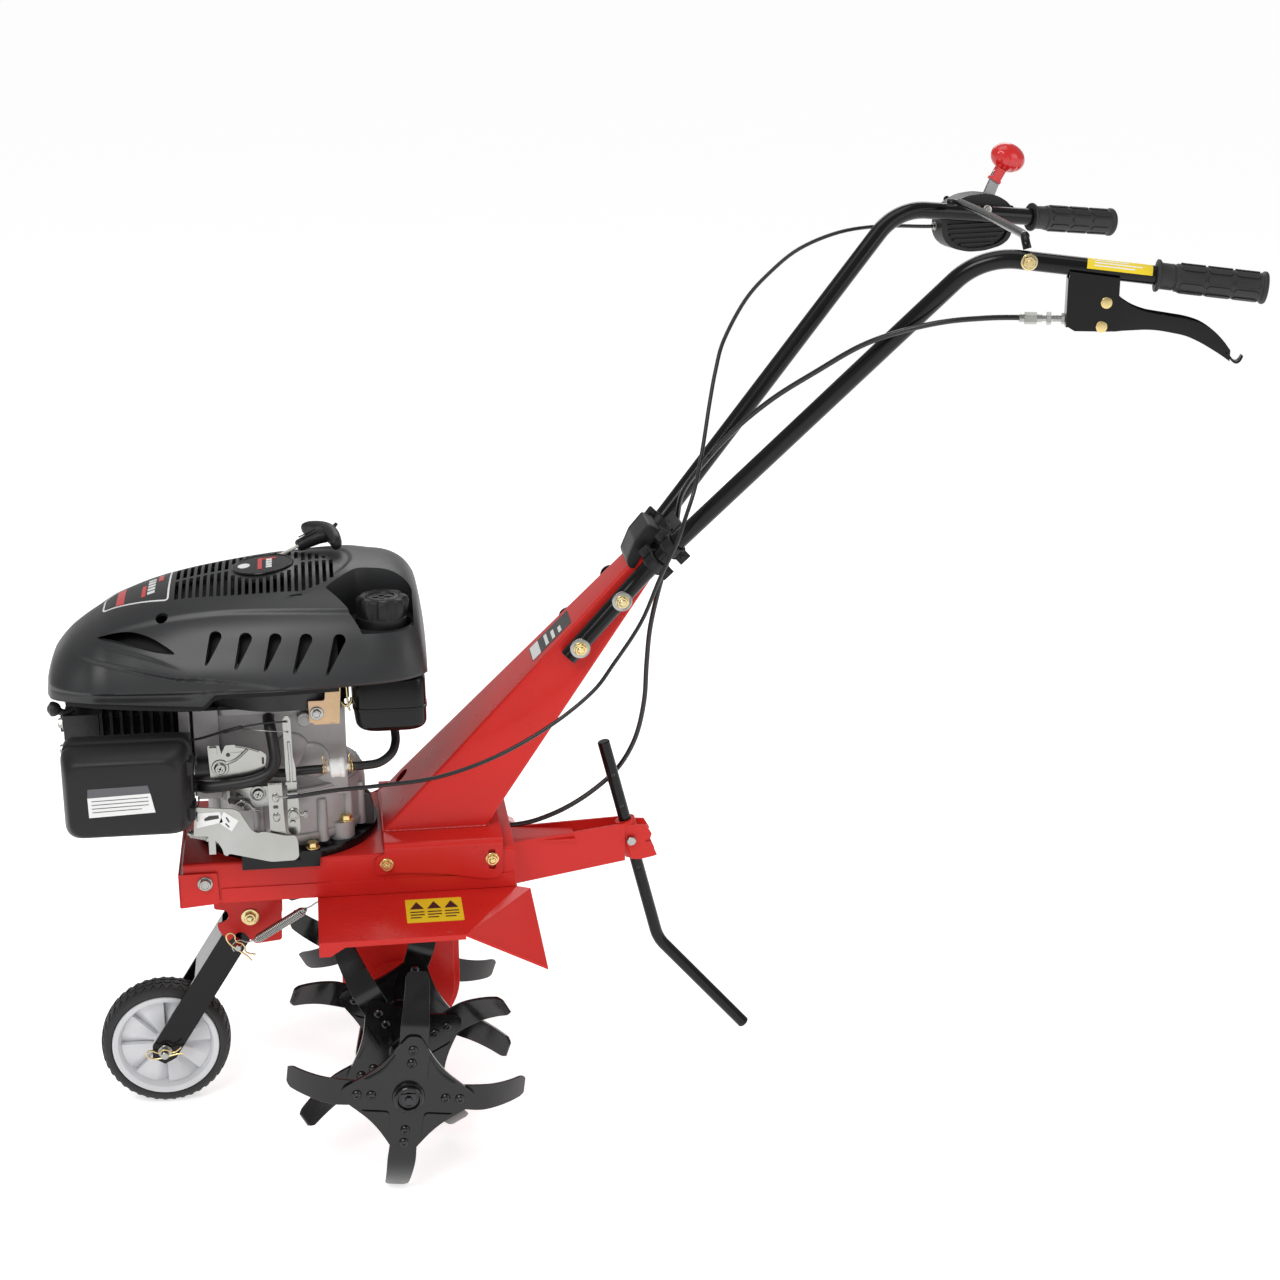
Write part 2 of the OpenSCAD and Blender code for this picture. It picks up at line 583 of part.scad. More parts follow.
module throttle_lever() color("silver") at_throttle() {
    hull() {
        ycyl([10, 4], -2, 2, 8);
        ycyl([34, 59], -2, 2, 5);
    }
    ycyl([10, 4], -16, 16, 3);
}
module throttle_knob() color("red") at_throttle() {
    difference() {
        rod([31, 0, 54], [41, 0, 70], 7.5, 9);
        hull() {
            ycyl([10, 4], -2, 2, 8);
            ycyl([34, 59], -2, 2, 5);
        }
    }
    translate([49, 0, 81]) rotate([0, 24, 0]) hull() for (i = [-1:1])
        translate([i * 9, 0, 0]) sphere(r = i == 0 ? 17 : 14, $fn = 24);
}
// Cable routes, from the handlebar down to the engine and to the deck
throttle_route = [[741.8, 239.3, 1075], [729, 236.6, 1075.5], [668, 222, 1079], [605, 184, 1078], [546, 151, 1063],
    [504, 130, 1037], [469, 110, 1006], [437, 80, 962], [422, 52, 930], [407, 8, 897], [391, -40, 854],
    [376, -76, 814], [362, -88, 778], [351, -92, 748], [331, -92, 706], [308, -92, 651], [274, -96, 601],
    [246, -100, 566], [193, -106, 527], [124, -114, 493], [53, -125, 475], [-17, -140, 474], [-70, -150, 475],
    [-112, -154.5, 472], [-128.2, -154.5, 471]];
clutch_route = [[736.6, -209.4, 1034], [722, -206, 1034.5], [690, -203, 1034], [645, -197, 1030], [598, -184, 1018],
    [554, -164, 998], [508, -138, 964], [464, -104, 926], [424, -72, 882], [392, -40, 834], [372, -10, 792],
    [368, 8, 756], [366, 12, 726], [354, 14, 690], [343, 14, 650], [334, 14, 606], [330, 15, 560], [327, 16, 510],
    [316, 18, 460], [294, 19, 420], [262, 16, 392], [226, 10, 372], [190, 4, 360], [162, 0, 356], [137, 0, 356]];
module throttle_cable() color("black") frame() sweep(smooth(throttle_route, 2), 2.5, 0, 8);
module clutch_cable() color("black") frame() sweep(smooth(clutch_route, 2), 3.2, 0, 8);

// ---------- drag stake ----------
module drag_stake() color("black") frame() translate([stake_top[0], 0, stake_top[1]]) rotate([0, 180 - stake_tilt, 0]) {
    difference() {
        cylinder(h = 276, r = stake_r);
        for (z = [47, 92, 137, 182]) translate([0, 20, z]) rotate([90, 0, 0]) cylinder(h = 40, r = 3.1);
    }
    turn = 27;
    bend_r = 55;
    lower = 164;
    sweep(concat([[0, 0, 276]], [for (i = [1:8]) [-bend_r + bend_r * cos(turn * i / 8), 0, 276 + bend_r * sin(turn * i / 8)]],
        [[-bend_r + bend_r * cos(turn) - lower * sin(turn), 0, 276 + bend_r * sin(turn) + lower * cos(turn)]]),
        stake_r, 0, 24);
}

// ---------- engine ----------
module engine_base() color("black") frame() difference() {
    union() {
        translate([crank_x, 0, deck_top]) cylinder(h = 12, r = 112);
        both() box(-186, -92, -111, -90, deck_top, deck_top + 12);
        both() box(-186, -92, -111, -deck_half_w - 0.3, deck_top - 9, deck_top + 1);
    }
    translate([crank_x, 0, deck_top - 1]) cylinder(h = 20, r = 34);
    engine_holes(deck_top - 1) cylinder(h = 20, r = 4.2);
}
module engine_holes(z) for (a = [45:90:315])
    translate([crank_x + engine_bolt_r * cos(a), engine_bolt_r * sin(a), z]) children();
module crankcase() color("silver") frame() difference() {
    translate([crank_x, 0, 0]) {
        translate([0, 0, deck_top + 12]) cylinder(h = 40, r = 93);
        for (a = [45:90:315]) rotate(a) translate([92, 0, deck_top + 12]) cylinder(h = 22, r = 17);
        for (a = [0:22.5:337.5]) rotate(a) translate([80, -2, deck_top + 50]) cube([10, 4, 20]);
        translate([0, 0, deck_top + 50]) cylinder(h = 32, r1 = 86, r2 = 76);
        translate([-76, -74, 440]) cube([152, 148, 120]);
        translate([0, 0, 558]) cylinder(h = 22, r = 60);
    }
    translate([crank_x, 0, deck_top]) cylinder(h = 300, r = 11.05);
    engine_holes(deck_top) cylinder(h = 60, r = 4.2);
    engine_holes(deck_top + 34) cylinder(h = 12, r = 9);
}
fan_z = 560.2;                 // underside of the pan that holds the fan
module cylinder_head() color("dimgray") frame() {
    box(-378, -206.1, -40, 40, 458, 542);
    for (i = [0:11]) box(-216 - i * 12, -212.5 - i * 12, -62, 62, 442, 556);
    difference() {
        box(-392, -350, -52, 52, 462, 550);
        for (z = [472, 504, 538], y = [-42, 42]) translate([-400, y, z]) rotate([0, 90, 0]) cylinder(h = 20, r = 4);
    }
    rod([-392, -22, 530], [-398, -22, 530], 10);
    rod([-372, 0, 552], [-372, 0, 562], 9);
    difference() {
        translate([crank_x, 0, fan_z]) cylinder(h = 44, r = 100);
        translate([crank_x, 0, fan_z + 6]) cylinder(h = 44, r = 97);
        translate([crank_x, 0, fan_z - 1]) cylinder(h = 44, r = 60.2);
        box(-48, 0, -120, 120, fan_z - 1, fan_z + 50);
    }
}
module muffler() color("dimgray") frame() {
    difference() {
        box(-386, -250, 100, 156, 446, 538);
        box(-384, -252, 102, 154, 448, 536);
    }
    box(-330, -300, 62.5, 100, 478, 510);
    for (i = [0:6]) box(-376 + i * 17, -368 + i * 17, 156, 158, 456, 528);
}
// Stations of the shroud: x, half width, bottom, top
cowl_stations = [[-408, 62, 586, 600], [-400, 88, 584, 620], [-376, 106, 584, 642], [-330, 124, 584, 669],
    [-260, 140, 584, 692], [-222, 145, 584, 699], [-204, 149, 599, 702], [-180, 151, 600, 706],
    [-100, 157, 603, 714], [-20, 157, 606, 716], [14, 151, 608, 706], [36, 140, 609, 682], [46, 128, 610, 650]];
function cowl_ring(s, inset, drop) = [for (i = [0:20]) let (c = cos(9 * i), q = pow(abs(sin(9 * i)), 0.77),
    w = s[1] - inset) [s[0], -w * sign(c) * pow(abs(c), 0.77) * (1 - 0.1 * q), s[2] - drop + (s[3] - inset - s[2] + drop) * q]];
module cowl_solid(inset, drop) loft([for (i = [0:len(cowl_stations) - 1]) let (s = cowl_stations[i],
    e = i == 0 ? [inset, 0, 0, 0] : i == len(cowl_stations) - 1 ? [-inset, 0, 0, 0] : [0, 0, 0, 0]) cowl_ring(s + e, inset, drop)]);
grille_c = [-146, 0, 709];
grille_tilt = -5;
function ellipse(a, b) = [for (i = [0:39]) [a * cos(9 * i), b * sin(9 * i)]];
module engine_cowl() color("dimgray") frame() difference() {
    cowl_solid(0, 0);
    cowl_solid(cowl_wall, 12);
    translate([-5, -100, 652]) cylinder(h = 80, r = 42);
    box(-40, 30, -170, -100, 652, 720);
    translate(grille_c) rotate([0, grille_tilt, 0]) translate([0, 0, -20]) linear_extrude(60) polygon(ellipse(99, 64));
    both() for (i = [0:4]) translate([-204 + i * 34, -190, 656]) rotate([0, 18, 0]) translate([-4, 0, -22]) cube([8, 60, 44]);
}
module starter_cover() color("dimgray") frame() translate(grille_c) rotate([0, grille_tilt, 0]) difference() {
    translate([0, 0, -5]) linear_extrude(4) difference() {
        polygon(ellipse(98.4, 63.4));
        for (i = [-10:10], j = [-1:1]) if (!(abs(i) < 4 && j == 0))
            intersection() {
                translate([i * 8.8 - 2.6, j * 36 - 15.5]) square([5.2, 31]);
                polygon(ellipse(92, 57));
            }
    }
}
module fuel_tank() color("dimgray") frame() difference() {
    union() {
        box(-44, 44, -118, 118, 532, 603);
        box(-44, 16, -112, 112, 601, 640);
        translate([6, -62, 526]) cylinder(h = 8, r = 5);
        translate([-5, -88, 636]) cylinder(h = 32, r = 24);
    }
    box(-38, 10, -106, 106, 538, 634);
    translate([-5, -88, 600]) cylinder(h = 90, r = 18);
}
module fuel_cap() color("black") frame() translate([-5, -88, 0]) difference() {
    union() {
        translate([0, 0, 652]) cylinder(h = 34, r = 28);
        translate([0, 0, 684]) cylinder(h = 8, r1 = 30, r2 = 26);
        for (i = [0:7]) rotate(i * 45) translate([27, 0, 664]) cylinder(h = 22, r = 5);
    }
    translate([0, 0, 651]) cylinder(h = 18, r = 24.4);
}
hose_a = [[6, -62, 525.0], [6, -62, 516], [6, -72, 504], [0, -88, 495], [-16, -102, 489], [-38, -106, 488],
    [-50, -106, 488]];
hose_b = [[-82, -106, 486], [-94, -106, 486], [-112, -106, 485], [-134, -102, 482], [-146, -98, 482],
    [-157.5, -98, 482]];
breather = [[-146, -74.6, 546], [-146, -88, 546], [-144, -104, 540], [-141, -116, 524], [-140, -124, 506],
    [-148, -128, 492], [-170, -129, 484], [-200, -129, 480], [-222, -127, 478], [-230, -119.5, 477],
    [-239.4, -119, 477]];
module engine_hoses() color("black") frame() {
    sweep(smooth(hose_a, 3), 5.5, 0, 10, [1, 0, 0.35]);
    sweep(smooth(hose_b, 3), 5.5, 0, 10, [0, 0, 1]);
    sweep(smooth(breather, 3), 7, 0, 10, [0.2, 0.1, 0.3]);
}
module fuel_filter() color("white") frame() for (s = [-1, 1]) {
    rod([-66, -106, 487], [-66 + s * 15.4, -106, 487], 4);
    rod([-66, -106, 487], [-66 + s * 9, -106, 487], 11);
}
module air_cleaner_base() color("dimgray") frame() {
    box(-374, -240, -128, -90, 452, 536);
    rod([-240, -103, 494], [-212, -103, 494], 15);
}
module air_cleaner_cover() color("dimgray") frame() difference() {
    hull() for (x = [-372, -250], z = [454, 530]) {
        translate([x, -128.2, z]) rotate([90, 0, 0]) cylinder(h = 44, r = 14, $fn = 24);
        translate([x, -128.2, z]) rotate([90, 0, 0]) cylinder(h = 62, r = 6, $fn = 24);
    }
    box(-368, -254, -182, -120, 458, 526);
}
module carburettor() color("silver") frame() {
    box(-206, -160, -114, -84, 474, 508);
    rod([-160, -98, 482], [-157.9, -98, 482], 5);
    rod([-184, -98, 474], [-184, -98, 440], 16);
    rod([-212, -103, 494], [-206, -103, 494], 15.5);
    box(-182, -162, -84, -74.1, 480, 502);
}
module control_bracket() color("silver") frame() {
    xz(-121, -119) polygon([[-222, 524], [-200, 526], [-174, 514], [-168, 498], [-192, 492], [-222, 492]]);
    ycyl([-212, 508], -127, -121, 8);
    box(-200, -176, -119, -114, 498, 504);
    xz(-156, -153) polygon([[-147, 478], [-129, 478], [-127, 418], [-146, 418]]);
    box(-145, -131, -153, -95.1, 424, 427);
    box(-145, -131, -98, -95.1, 406, 427);
    xz(-98, -96) polygon([[-96, 606], [-60, 606], [-60, 538], [-98, 540]]);
    box(-90, -68, -96, -74.1, 540, 543);
}
module control_shield() color("silver") frame() {
    xz(-160, -158) polygon([[-236, 464], [-186, 460], [-172, 450], [-154, 428], [-122, 428], [-118, 398],
        [-150, 388], [-196, 402], [-216, 410], [-236, 448]]);
    box(-175, -155, -158, -95.1, 404, 406.5);
}
module governor_arm() color("silver") frame() {
    xz(-146, -144) polygon([[-129, 566], [-119, 566], [-117, 514], [-120, 456], [-115, 428], [-123, 418],
        [-130, 428], [-130, 456], [-126, 514]]);
    ycyl([-122, 434], -149, -95.1, 3.5);
}
handle_tilt = [0, 73, 25];
handle_foot = [-112, 35, 720];
module starter_handle() color("dimgray") frame() translate(handle_foot) rotate([0, 0, handle_tilt[2]])
    rotate([0, handle_tilt[1], 0]) {
        translate([0, 0, 2]) cylinder(h = 40, r1 = 7, r2 = 10);
        translate([0, 0, 44]) rotate([90, 0, 0]) cylinder(h = 78, r = 10, center = true);
        for (s = [-1, 1]) translate([0, s * 39, 44]) sphere(r = 10);
    }
module starter_rope() color("white") frame() translate(handle_foot) rotate([0, 0, handle_tilt[2]])
    rotate([0, handle_tilt[1], 0]) translate([0, 0, -24]) cylinder(h = 26, r = 2);

// ---------- fasteners on the frame ----------
module frame_bolts() color("gold") frame() {
    both() {
        hex_bolt(col_pivot, -109.2, -1, 7, 5);
        hex_bolt(col_slot, -109.2, -1, 6.5, 5);
        hex_bolt(front_bolt, -109.2, -1, 6.5, 5);
        hex_bolt(pivot, -42.2, -1, 7.5, 6);
    }
    ycyl(pivot, -42.2, 42.2, 5);
    for (p = [[col_pivot, 5], [col_slot, 4], [front_bolt, 4]]) both() ycyl(p[0], -109.4, -92, p[1]);
    engine_holes(deck_top) {
        translate([0, 0, 0.1]) cylinder(h = 34, r = 4);
    }
    engine_holes(deck_top + 34.1) cylinder(h = 6, r = 7, $fn = 6);
    a = [stake_top[0] + sleeve_t * sin(stake_tilt), stake_top[1] - sleeve_t * cos(stake_tilt)];
    ycyl(a, -16, -8.4, 3);
    ycyl(a, -20, -14.2, 6);
}

deck();
wheel_bracket();
hitch();
chain_case_left();
chain_case_right();
shaft_seals();
gearbox();
tine_guards();
engine_base();
crankcase();
cylinder_head();
muffler();
engine_cowl();
starter_cover();
fuel_tank();
engine_hoses();
fuel_filter();
air_cleaner_base();
air_cleaner_cover();
carburettor();
control_bracket();
control_shield();
governor_arm();
frame_bolts();
lock_spring();
drive_belt();
drive_chain();
crankshaft();
flywheel();
input_shaft();
countershaft();
tension_arm();
tine_shaft();
tine_hubs();
tine_blades();
tine_bolts();
wheel_fork();
fork_pins();
r_clips();
wheel_rim();
tyre();
steering_column();
handlebar_left();
handlebar_right();
handle_grips();
cable_clip();
handle_bolts();
crossbar();
clutch_bracket();
throttle_housing();
throttle_lever();
throttle_knob();
clutch_lever();
cable_adjuster();
throttle_cable();
clutch_cable();
drag_stake();
starter_handle();
starter_rope();
fuel_cap();
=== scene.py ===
"""Looks of a walk-behind petrol tiller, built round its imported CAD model.

Shapes are written in millimetres in the design's axes (X back from the tine axle, Y towards the throttle
side, Z up from the floor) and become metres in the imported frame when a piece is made."""
import json
import math

import bmesh
import bpy
from mathutils import Matrix, Vector
from mathutils.geometry import tessellate_polygon


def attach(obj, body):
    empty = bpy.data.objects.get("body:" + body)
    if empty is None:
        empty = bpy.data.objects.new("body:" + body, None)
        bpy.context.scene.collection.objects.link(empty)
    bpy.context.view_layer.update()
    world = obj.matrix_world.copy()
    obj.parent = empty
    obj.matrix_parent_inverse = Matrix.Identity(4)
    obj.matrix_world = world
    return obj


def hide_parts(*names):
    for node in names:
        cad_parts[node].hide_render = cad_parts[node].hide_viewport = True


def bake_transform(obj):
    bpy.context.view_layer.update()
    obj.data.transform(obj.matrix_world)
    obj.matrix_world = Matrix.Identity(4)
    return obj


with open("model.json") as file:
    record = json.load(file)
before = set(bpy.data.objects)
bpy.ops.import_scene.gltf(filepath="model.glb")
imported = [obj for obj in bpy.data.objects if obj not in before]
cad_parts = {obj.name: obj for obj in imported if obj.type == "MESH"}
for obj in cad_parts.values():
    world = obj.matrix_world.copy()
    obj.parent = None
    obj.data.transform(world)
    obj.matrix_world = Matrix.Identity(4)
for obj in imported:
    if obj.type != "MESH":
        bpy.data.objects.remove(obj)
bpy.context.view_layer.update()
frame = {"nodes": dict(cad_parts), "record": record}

MM = 0.001
ORIGIN_X = 296.6            # the frame's origin lies this far behind the tine axle
SLOT_OF = {part["node"]: part["material_slot"] for part in frame["record"]["subparts"]}
TURN = 2 * math.pi
UP = (0, 0, 1)
NEAR = (0, -1, 0)           # direction of the side that faces the camera
MIRROR = Matrix.Scale(-1, 4, (0, 1, 0))


# ---------------------------------------------------------------- places and outlines
def packed(p):
    """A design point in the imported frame, in metres."""
    return ((p[0] - ORIGIN_X) * MM, p[1] * MM, p[2] * MM)


def moved(x, y, z):
    return Matrix.Translation((x, y, z))


def spun(degrees, axis):
    return Matrix.Rotation(math.radians(degrees), 4, axis)


def turned(origin, x_axis, z_axis):
    """Matrix of a local frame: its origin, local X roughly along x_axis, and local Z along z_axis."""
    z = Vector(z_axis).normalized()
    y = z.cross(Vector(x_axis)).normalized()
    return Matrix.Translation(Vector(origin)) @ Matrix((y.cross(z), y, z)).transposed().to_4x4()


def facing(x, y, z, side=-1):
    """Local frame on a wall: its Z points to the near side, or to the far side with side=1."""
    return turned((x, y, z), (1, 0, 0), (0, side, 0))


UPRIGHT = spun(90, "X")     # a plate drawn in X and Z: local Y is Z and local Z is -Y
ALONG_X = Matrix(((0, 0, 1, 0), (1, 0, 0, 0), (0, 1, 0, 0), (0, 0, 0, 1)))  # drawn in Y and Z, pulled along X


def polar(r, degrees, centre=(0, 0)):
    a = math.radians(degrees)
    return (centre[0] + r * math.cos(a), centre[1] + r * math.sin(a))


def circle(r, n=24, centre=(0, 0), start=0.0):
    angles = [start + TURN * i / n for i in range(n)]
    return [(centre[0] + r * math.cos(a), centre[1] + r * math.sin(a)) for a in angles]


def rectangle(x0, x1, y0, y1):
    return [(x0, y0), (x1, y0), (x1, y1), (x0, y1)]


def rounded(points, r, n=5):
    """A polygon with its corners rounded; r is one radius or one per corner."""
    out = []
    count = len(points)
    radii = r if isinstance(r, (list, tuple)) else [r] * count
    for i in range(count):
        a, b, c = (Vector(points[(i + k) % count]) for k in (-1, 0, 1))
        u, v = a - b, c - b
        size = min(radii[i], 0.45 * u.length, 0.45 * v.length)
        if size <= 0:
            out.append(tuple(b))
            continue
        s, e = b + u.normalized() * size, b + v.normalized() * size
        for k in range(n + 1):
            t = k / n
            out.append(tuple(s * (1 - t) ** 2 + b * 2 * t * (1 - t) + e * t ** 2))
    return out


def smooth(points, steps):
    """Points of a Catmull-Rom curve through the given ones."""
    p = [Vector(q) for q in points]
    out = []
    for i in range(len(p) - 1):
        a, b, c, d = p[max(i - 1, 0)], p[i], p[i + 1], p[min(i + 2, len(p) - 1)]
        for k in range(steps):
            t = k / steps
            out.append(0.5 * ((2 * b) + (c - a) * t + (2 * a - 5 * b + 4 * c - d) * t * t
                              + (3 * b - a - 3 * c + d) * t ** 3))
    return out + [p[-1]]


def corner(a, c, b, r, n):
    """Points of a round corner at c between the straight runs to a and b."""
    a, b, c = Vector(a), Vector(b), Vector(c)
    u, v = (a - c).normalized(), (b - c).normalized()
    half = math.acos(max(-1, min(1, u.dot(v)))) / 2
    m = c + (u + v).normalized() * r / math.sin(half)
    s, e = c + u * r / math.tan(half) - m, c + v * r / math.tan(half) - m
    sweep = math.pi - 2 * half
    return [m + (s * math.sin(sweep * (1 - i / n)) + e * math.sin(sweep * i / n)) / math.sin(sweep)
            for i in range(n + 1)]


def coil(start, end, radius, turns, per_turn):
    """Points of a helix from start to end; radius is a function of the share of the way."""
    start, end = Vector(start), Vector(end)
    along = (end - start).normalized()
    side = along.orthogonal().normalized()
    across = along.cross(side)
    count = turns * per_turn
    points = []
    for i in range(count + 1):
        a = TURN * i / per_turn
        spoke = math.cos(a) * side + math.sin(a) * across
        points.append(start.lerp(end, i / count) + radius(i / count) * spoke)
    return points


def squared(u, power=0.8):
    """Cosine and sine of u, pushed outwards so that a circle becomes a round-cornered square."""
    c, s = math.cos(u), math.sin(u)
    return math.copysign(abs(c) ** power, c), math.copysign(abs(s) ** power, s)


# ---------------------------------------------------------------- solids
def skin_faces(rings, around, closed=False):
    """Faces between rings of as many points each: a closed loop of rings, or one with a cap at each end."""
    faces = []
    for i in range(rings if closed else rings - 1):
        a, b = i * around, (i + 1) % rings * around
        faces += [[a + j, a + (j + 1) % around, b + (j + 1) % around, b + j] for j in range(around)]
    if not closed:
        last = (rings - 1) * around
        faces += [list(range(around))[::-1], [last + j for j in range(around)]]
    return faces


class Shape:
    """Closed solids gathered into one mesh."""

    def __init__(self):
        self.v, self.f = [], []

    def add(self, verts, faces, m=None):
        base = len(self.v)
        self.v += [m @ Vector(p) if m is not None else Vector(p) for p in verts]
        self.f += [[base + i for i in face] for face in faces]
        return self

    def join(self, other, m=None):
        return self.add([p.copy() for p in other.v], other.f, m)

    def mirrored(self):
        """This shape and its mirror image across the centre plane."""
        return Shape().join(self).join(self, MIRROR)

    def prism(self, poly, lo, hi, m=None, holes=()):
        """A polygon in local X and Y, with holes, pulled from lo to hi along local Z."""
        loops = [list(poly)] + [list(h) for h in holes]
        flat = [q for loop in loops for q in loop]
        n = len(flat)
        caps = [list(range(n))]
        if holes:
            caps = [list(t) for t in tessellate_polygon([[Vector((*q, 0)) for q in loop] for loop in loops])]
        faces = [c[::-1] for c in caps] + [[n + i for i in c] for c in caps]
        start = 0
        for loop in loops:
            k = len(loop)
            for i in range(k):
                a, b = start + i, start + (i + 1) % k
                faces.append([a, b, n + b, n + a])
            start += k
        return self.add([(*q, lo) for q in flat] + [(*q, hi) for q in flat], faces, m)

    def plate(self, poly, y0, y1, holes=()):
        """A polygon in X and Z, pulled from y0 to y1."""
        return self.prism(poly, -y1, -y0, UPRIGHT, holes)

    def box(self, x0, x1, y0, y1, z0, z1, m=None):
        return self.prism(rectangle(x0, x1, y0, y1), z0, z1, m)

    def lathe(self, profile, m=None, n=40, ring=False):
        """A profile of (radius, height) turned round local Z; ring joins its last point to its first."""
        verts = [(*q, h) for r, h in profile for q in circle(r, n)]
        return self.add(verts, skin_faces(len(profile), n, ring), m)

    def rod(self, a, b, r, r2=None, n=24, edge=0.0):
        """A round bar from a to b, with its end edges broken by edge."""
        a, b = Vector(a), Vector(b)
        d = b - a
        side = (0.31, 0.95, 0.02) if abs(d.normalized().x) > 0.8 else (1, 0.1, 0)
        r2 = r if r2 is None else r2
        h = d.length
        profile = [(r - edge, 0), (r, edge), (r2, h - edge), (r2 - edge, h)] if edge else [(r, 0), (r2, h)]
        return self.lathe(profile, turned(a, side, d), n)

    def tube(self, path, r, n=16, inner=None):
        """A round bar swept along points, or a tube; r is one radius or one per point."""
        p = [Vector(q) for q in path]
        k = len(p)
        radii = r if isinstance(r, (list, tuple)) else [r] * k
        tangent = [(p[min(i + 1, k - 1)] - p[max(i - 1, 0)]).normalized() for i in range(k)]
        side = tangent[0].orthogonal().normalized()
        spokes = []
        for i in range(k):
            side = (side - tangent[i] * side.dot(tangent[i])).normalized()
            over = tangent[i].cross(side)
            spokes.append([side * c + over * s for c, s in circle(1, n)])
        verts = [p[i] + radii[i] * d for i in range(k) for d in spokes[i]]
        faces = skin_faces(k, n)
        if inner is None:
            return self.add(verts, faces)
        verts += [p[i] + inner * d for i in range(k) for d in spokes[i]]
        quads = faces[:-2]
        o, e = k * n, (k - 1) * n
        faces = quads + [[o + i for i in q[::-1]] for q in quads]
        for j in range(n):
            after = (j + 1) % n
            faces += [[j, after, o + after, o + j], [e + after, e + j, o + e + j, o + e + after]]
        return self.add(verts, faces)

    def loft(self, rings, m=None):
        """A closed skin through rings of as many points each."""
        return self.add([p for ring in rings for p in ring], skin_faces(len(rings), len(rings[0])), m)

    def ball(self, centre, r, n=20, stretch=(1, 1, 1)):
        """A round or stretched ball."""
        rows = n // 2
        angles = [math.pi * (i + 0.15) / (rows + 0.3) for i in range(rows + 1)]
        profile = [(r * math.sin(a), -r * math.cos(a)) for a in angles]
        return self.lathe(profile, Matrix.Translation(Vector(centre)) @ Matrix.Diagonal((*stretch, 1)), n)

    def hex_head(self, centre, axis, size, height, washer=None, spin=0.0):
        """A hexagonal head with a chamfered crown, standing on centre along axis, on a washer if given."""
        lies_along_x = abs(Vector(axis).normalized().x) >= 0.9
        m = turned(centre, (0, 1, 0) if lies_along_x else (1, 0.02, 0.01), axis)
        z = 0.0
        if washer:
            self.lathe([(washer - 0.4, 0), (washer, 0.4), (washer, 1.1), (washer - 0.6, 1.6)], m, 32)
            z = 1.5
        hexagon = [Vector(q) for q in circle(size / math.sqrt(3), 6, start=spin)]
        edge = [hexagon[i // 4].lerp(hexagon[(i // 4 + 1) % 6], (i % 4) / 4) for i in range(24)]
        crown = [q.normalized() * min(q.length, size * 0.5) for q in edge]
        levels = ((edge, 1, z), (edge, 1, z + height * 0.78), (crown, 1, z + height),
                  (crown, 0.72, z + height), (crown, 0.66, z + height - 0.5))
        return self.loft([[(*(q * share), h) for q in line] for line, share, h in levels], m)

    def mesh(self, name, place=packed, weld=1e-6):
        """A Blender mesh of this shape, each point put where place says."""
        me = bpy.data.meshes.new(name)
        me.from_pydata([place(p) for p in self.v], [], self.f)
        me.update()
        bm = bmesh.new()
        bm.from_mesh(me)
        bmesh.ops.remove_doubles(bm, verts=bm.verts, dist=weld)
        bmesh.ops.recalc_face_normals(bm, faces=bm.faces)
        bm.to_mesh(me)
        bm.free()
        return me

    def minus(self, tool, solver="MANIFOLD"):
        """This shape with another one cut away."""
        objects = [bpy.data.objects.new("solid", s.mesh("solid", tuple, 1e-3)) for s in (self, tool)]
        for o in objects:
            bpy.context.scene.collection.objects.link(o)
        cut = objects[0].modifiers.new("cut", "BOOLEAN")
        cut.operation, cut.object, cut.solver = "DIFFERENCE", objects[1], solver
        bpy.context.view_layer.update()
        me = bpy.data.meshes.new_from_object(objects[0].evaluated_get(bpy.context.evaluated_depsgraph_get()))
        for o in objects:
            bpy.data.objects.remove(o)
        return Shape().add([v.co for v in me.vertices], [list(p.vertices) for p in me.polygons])


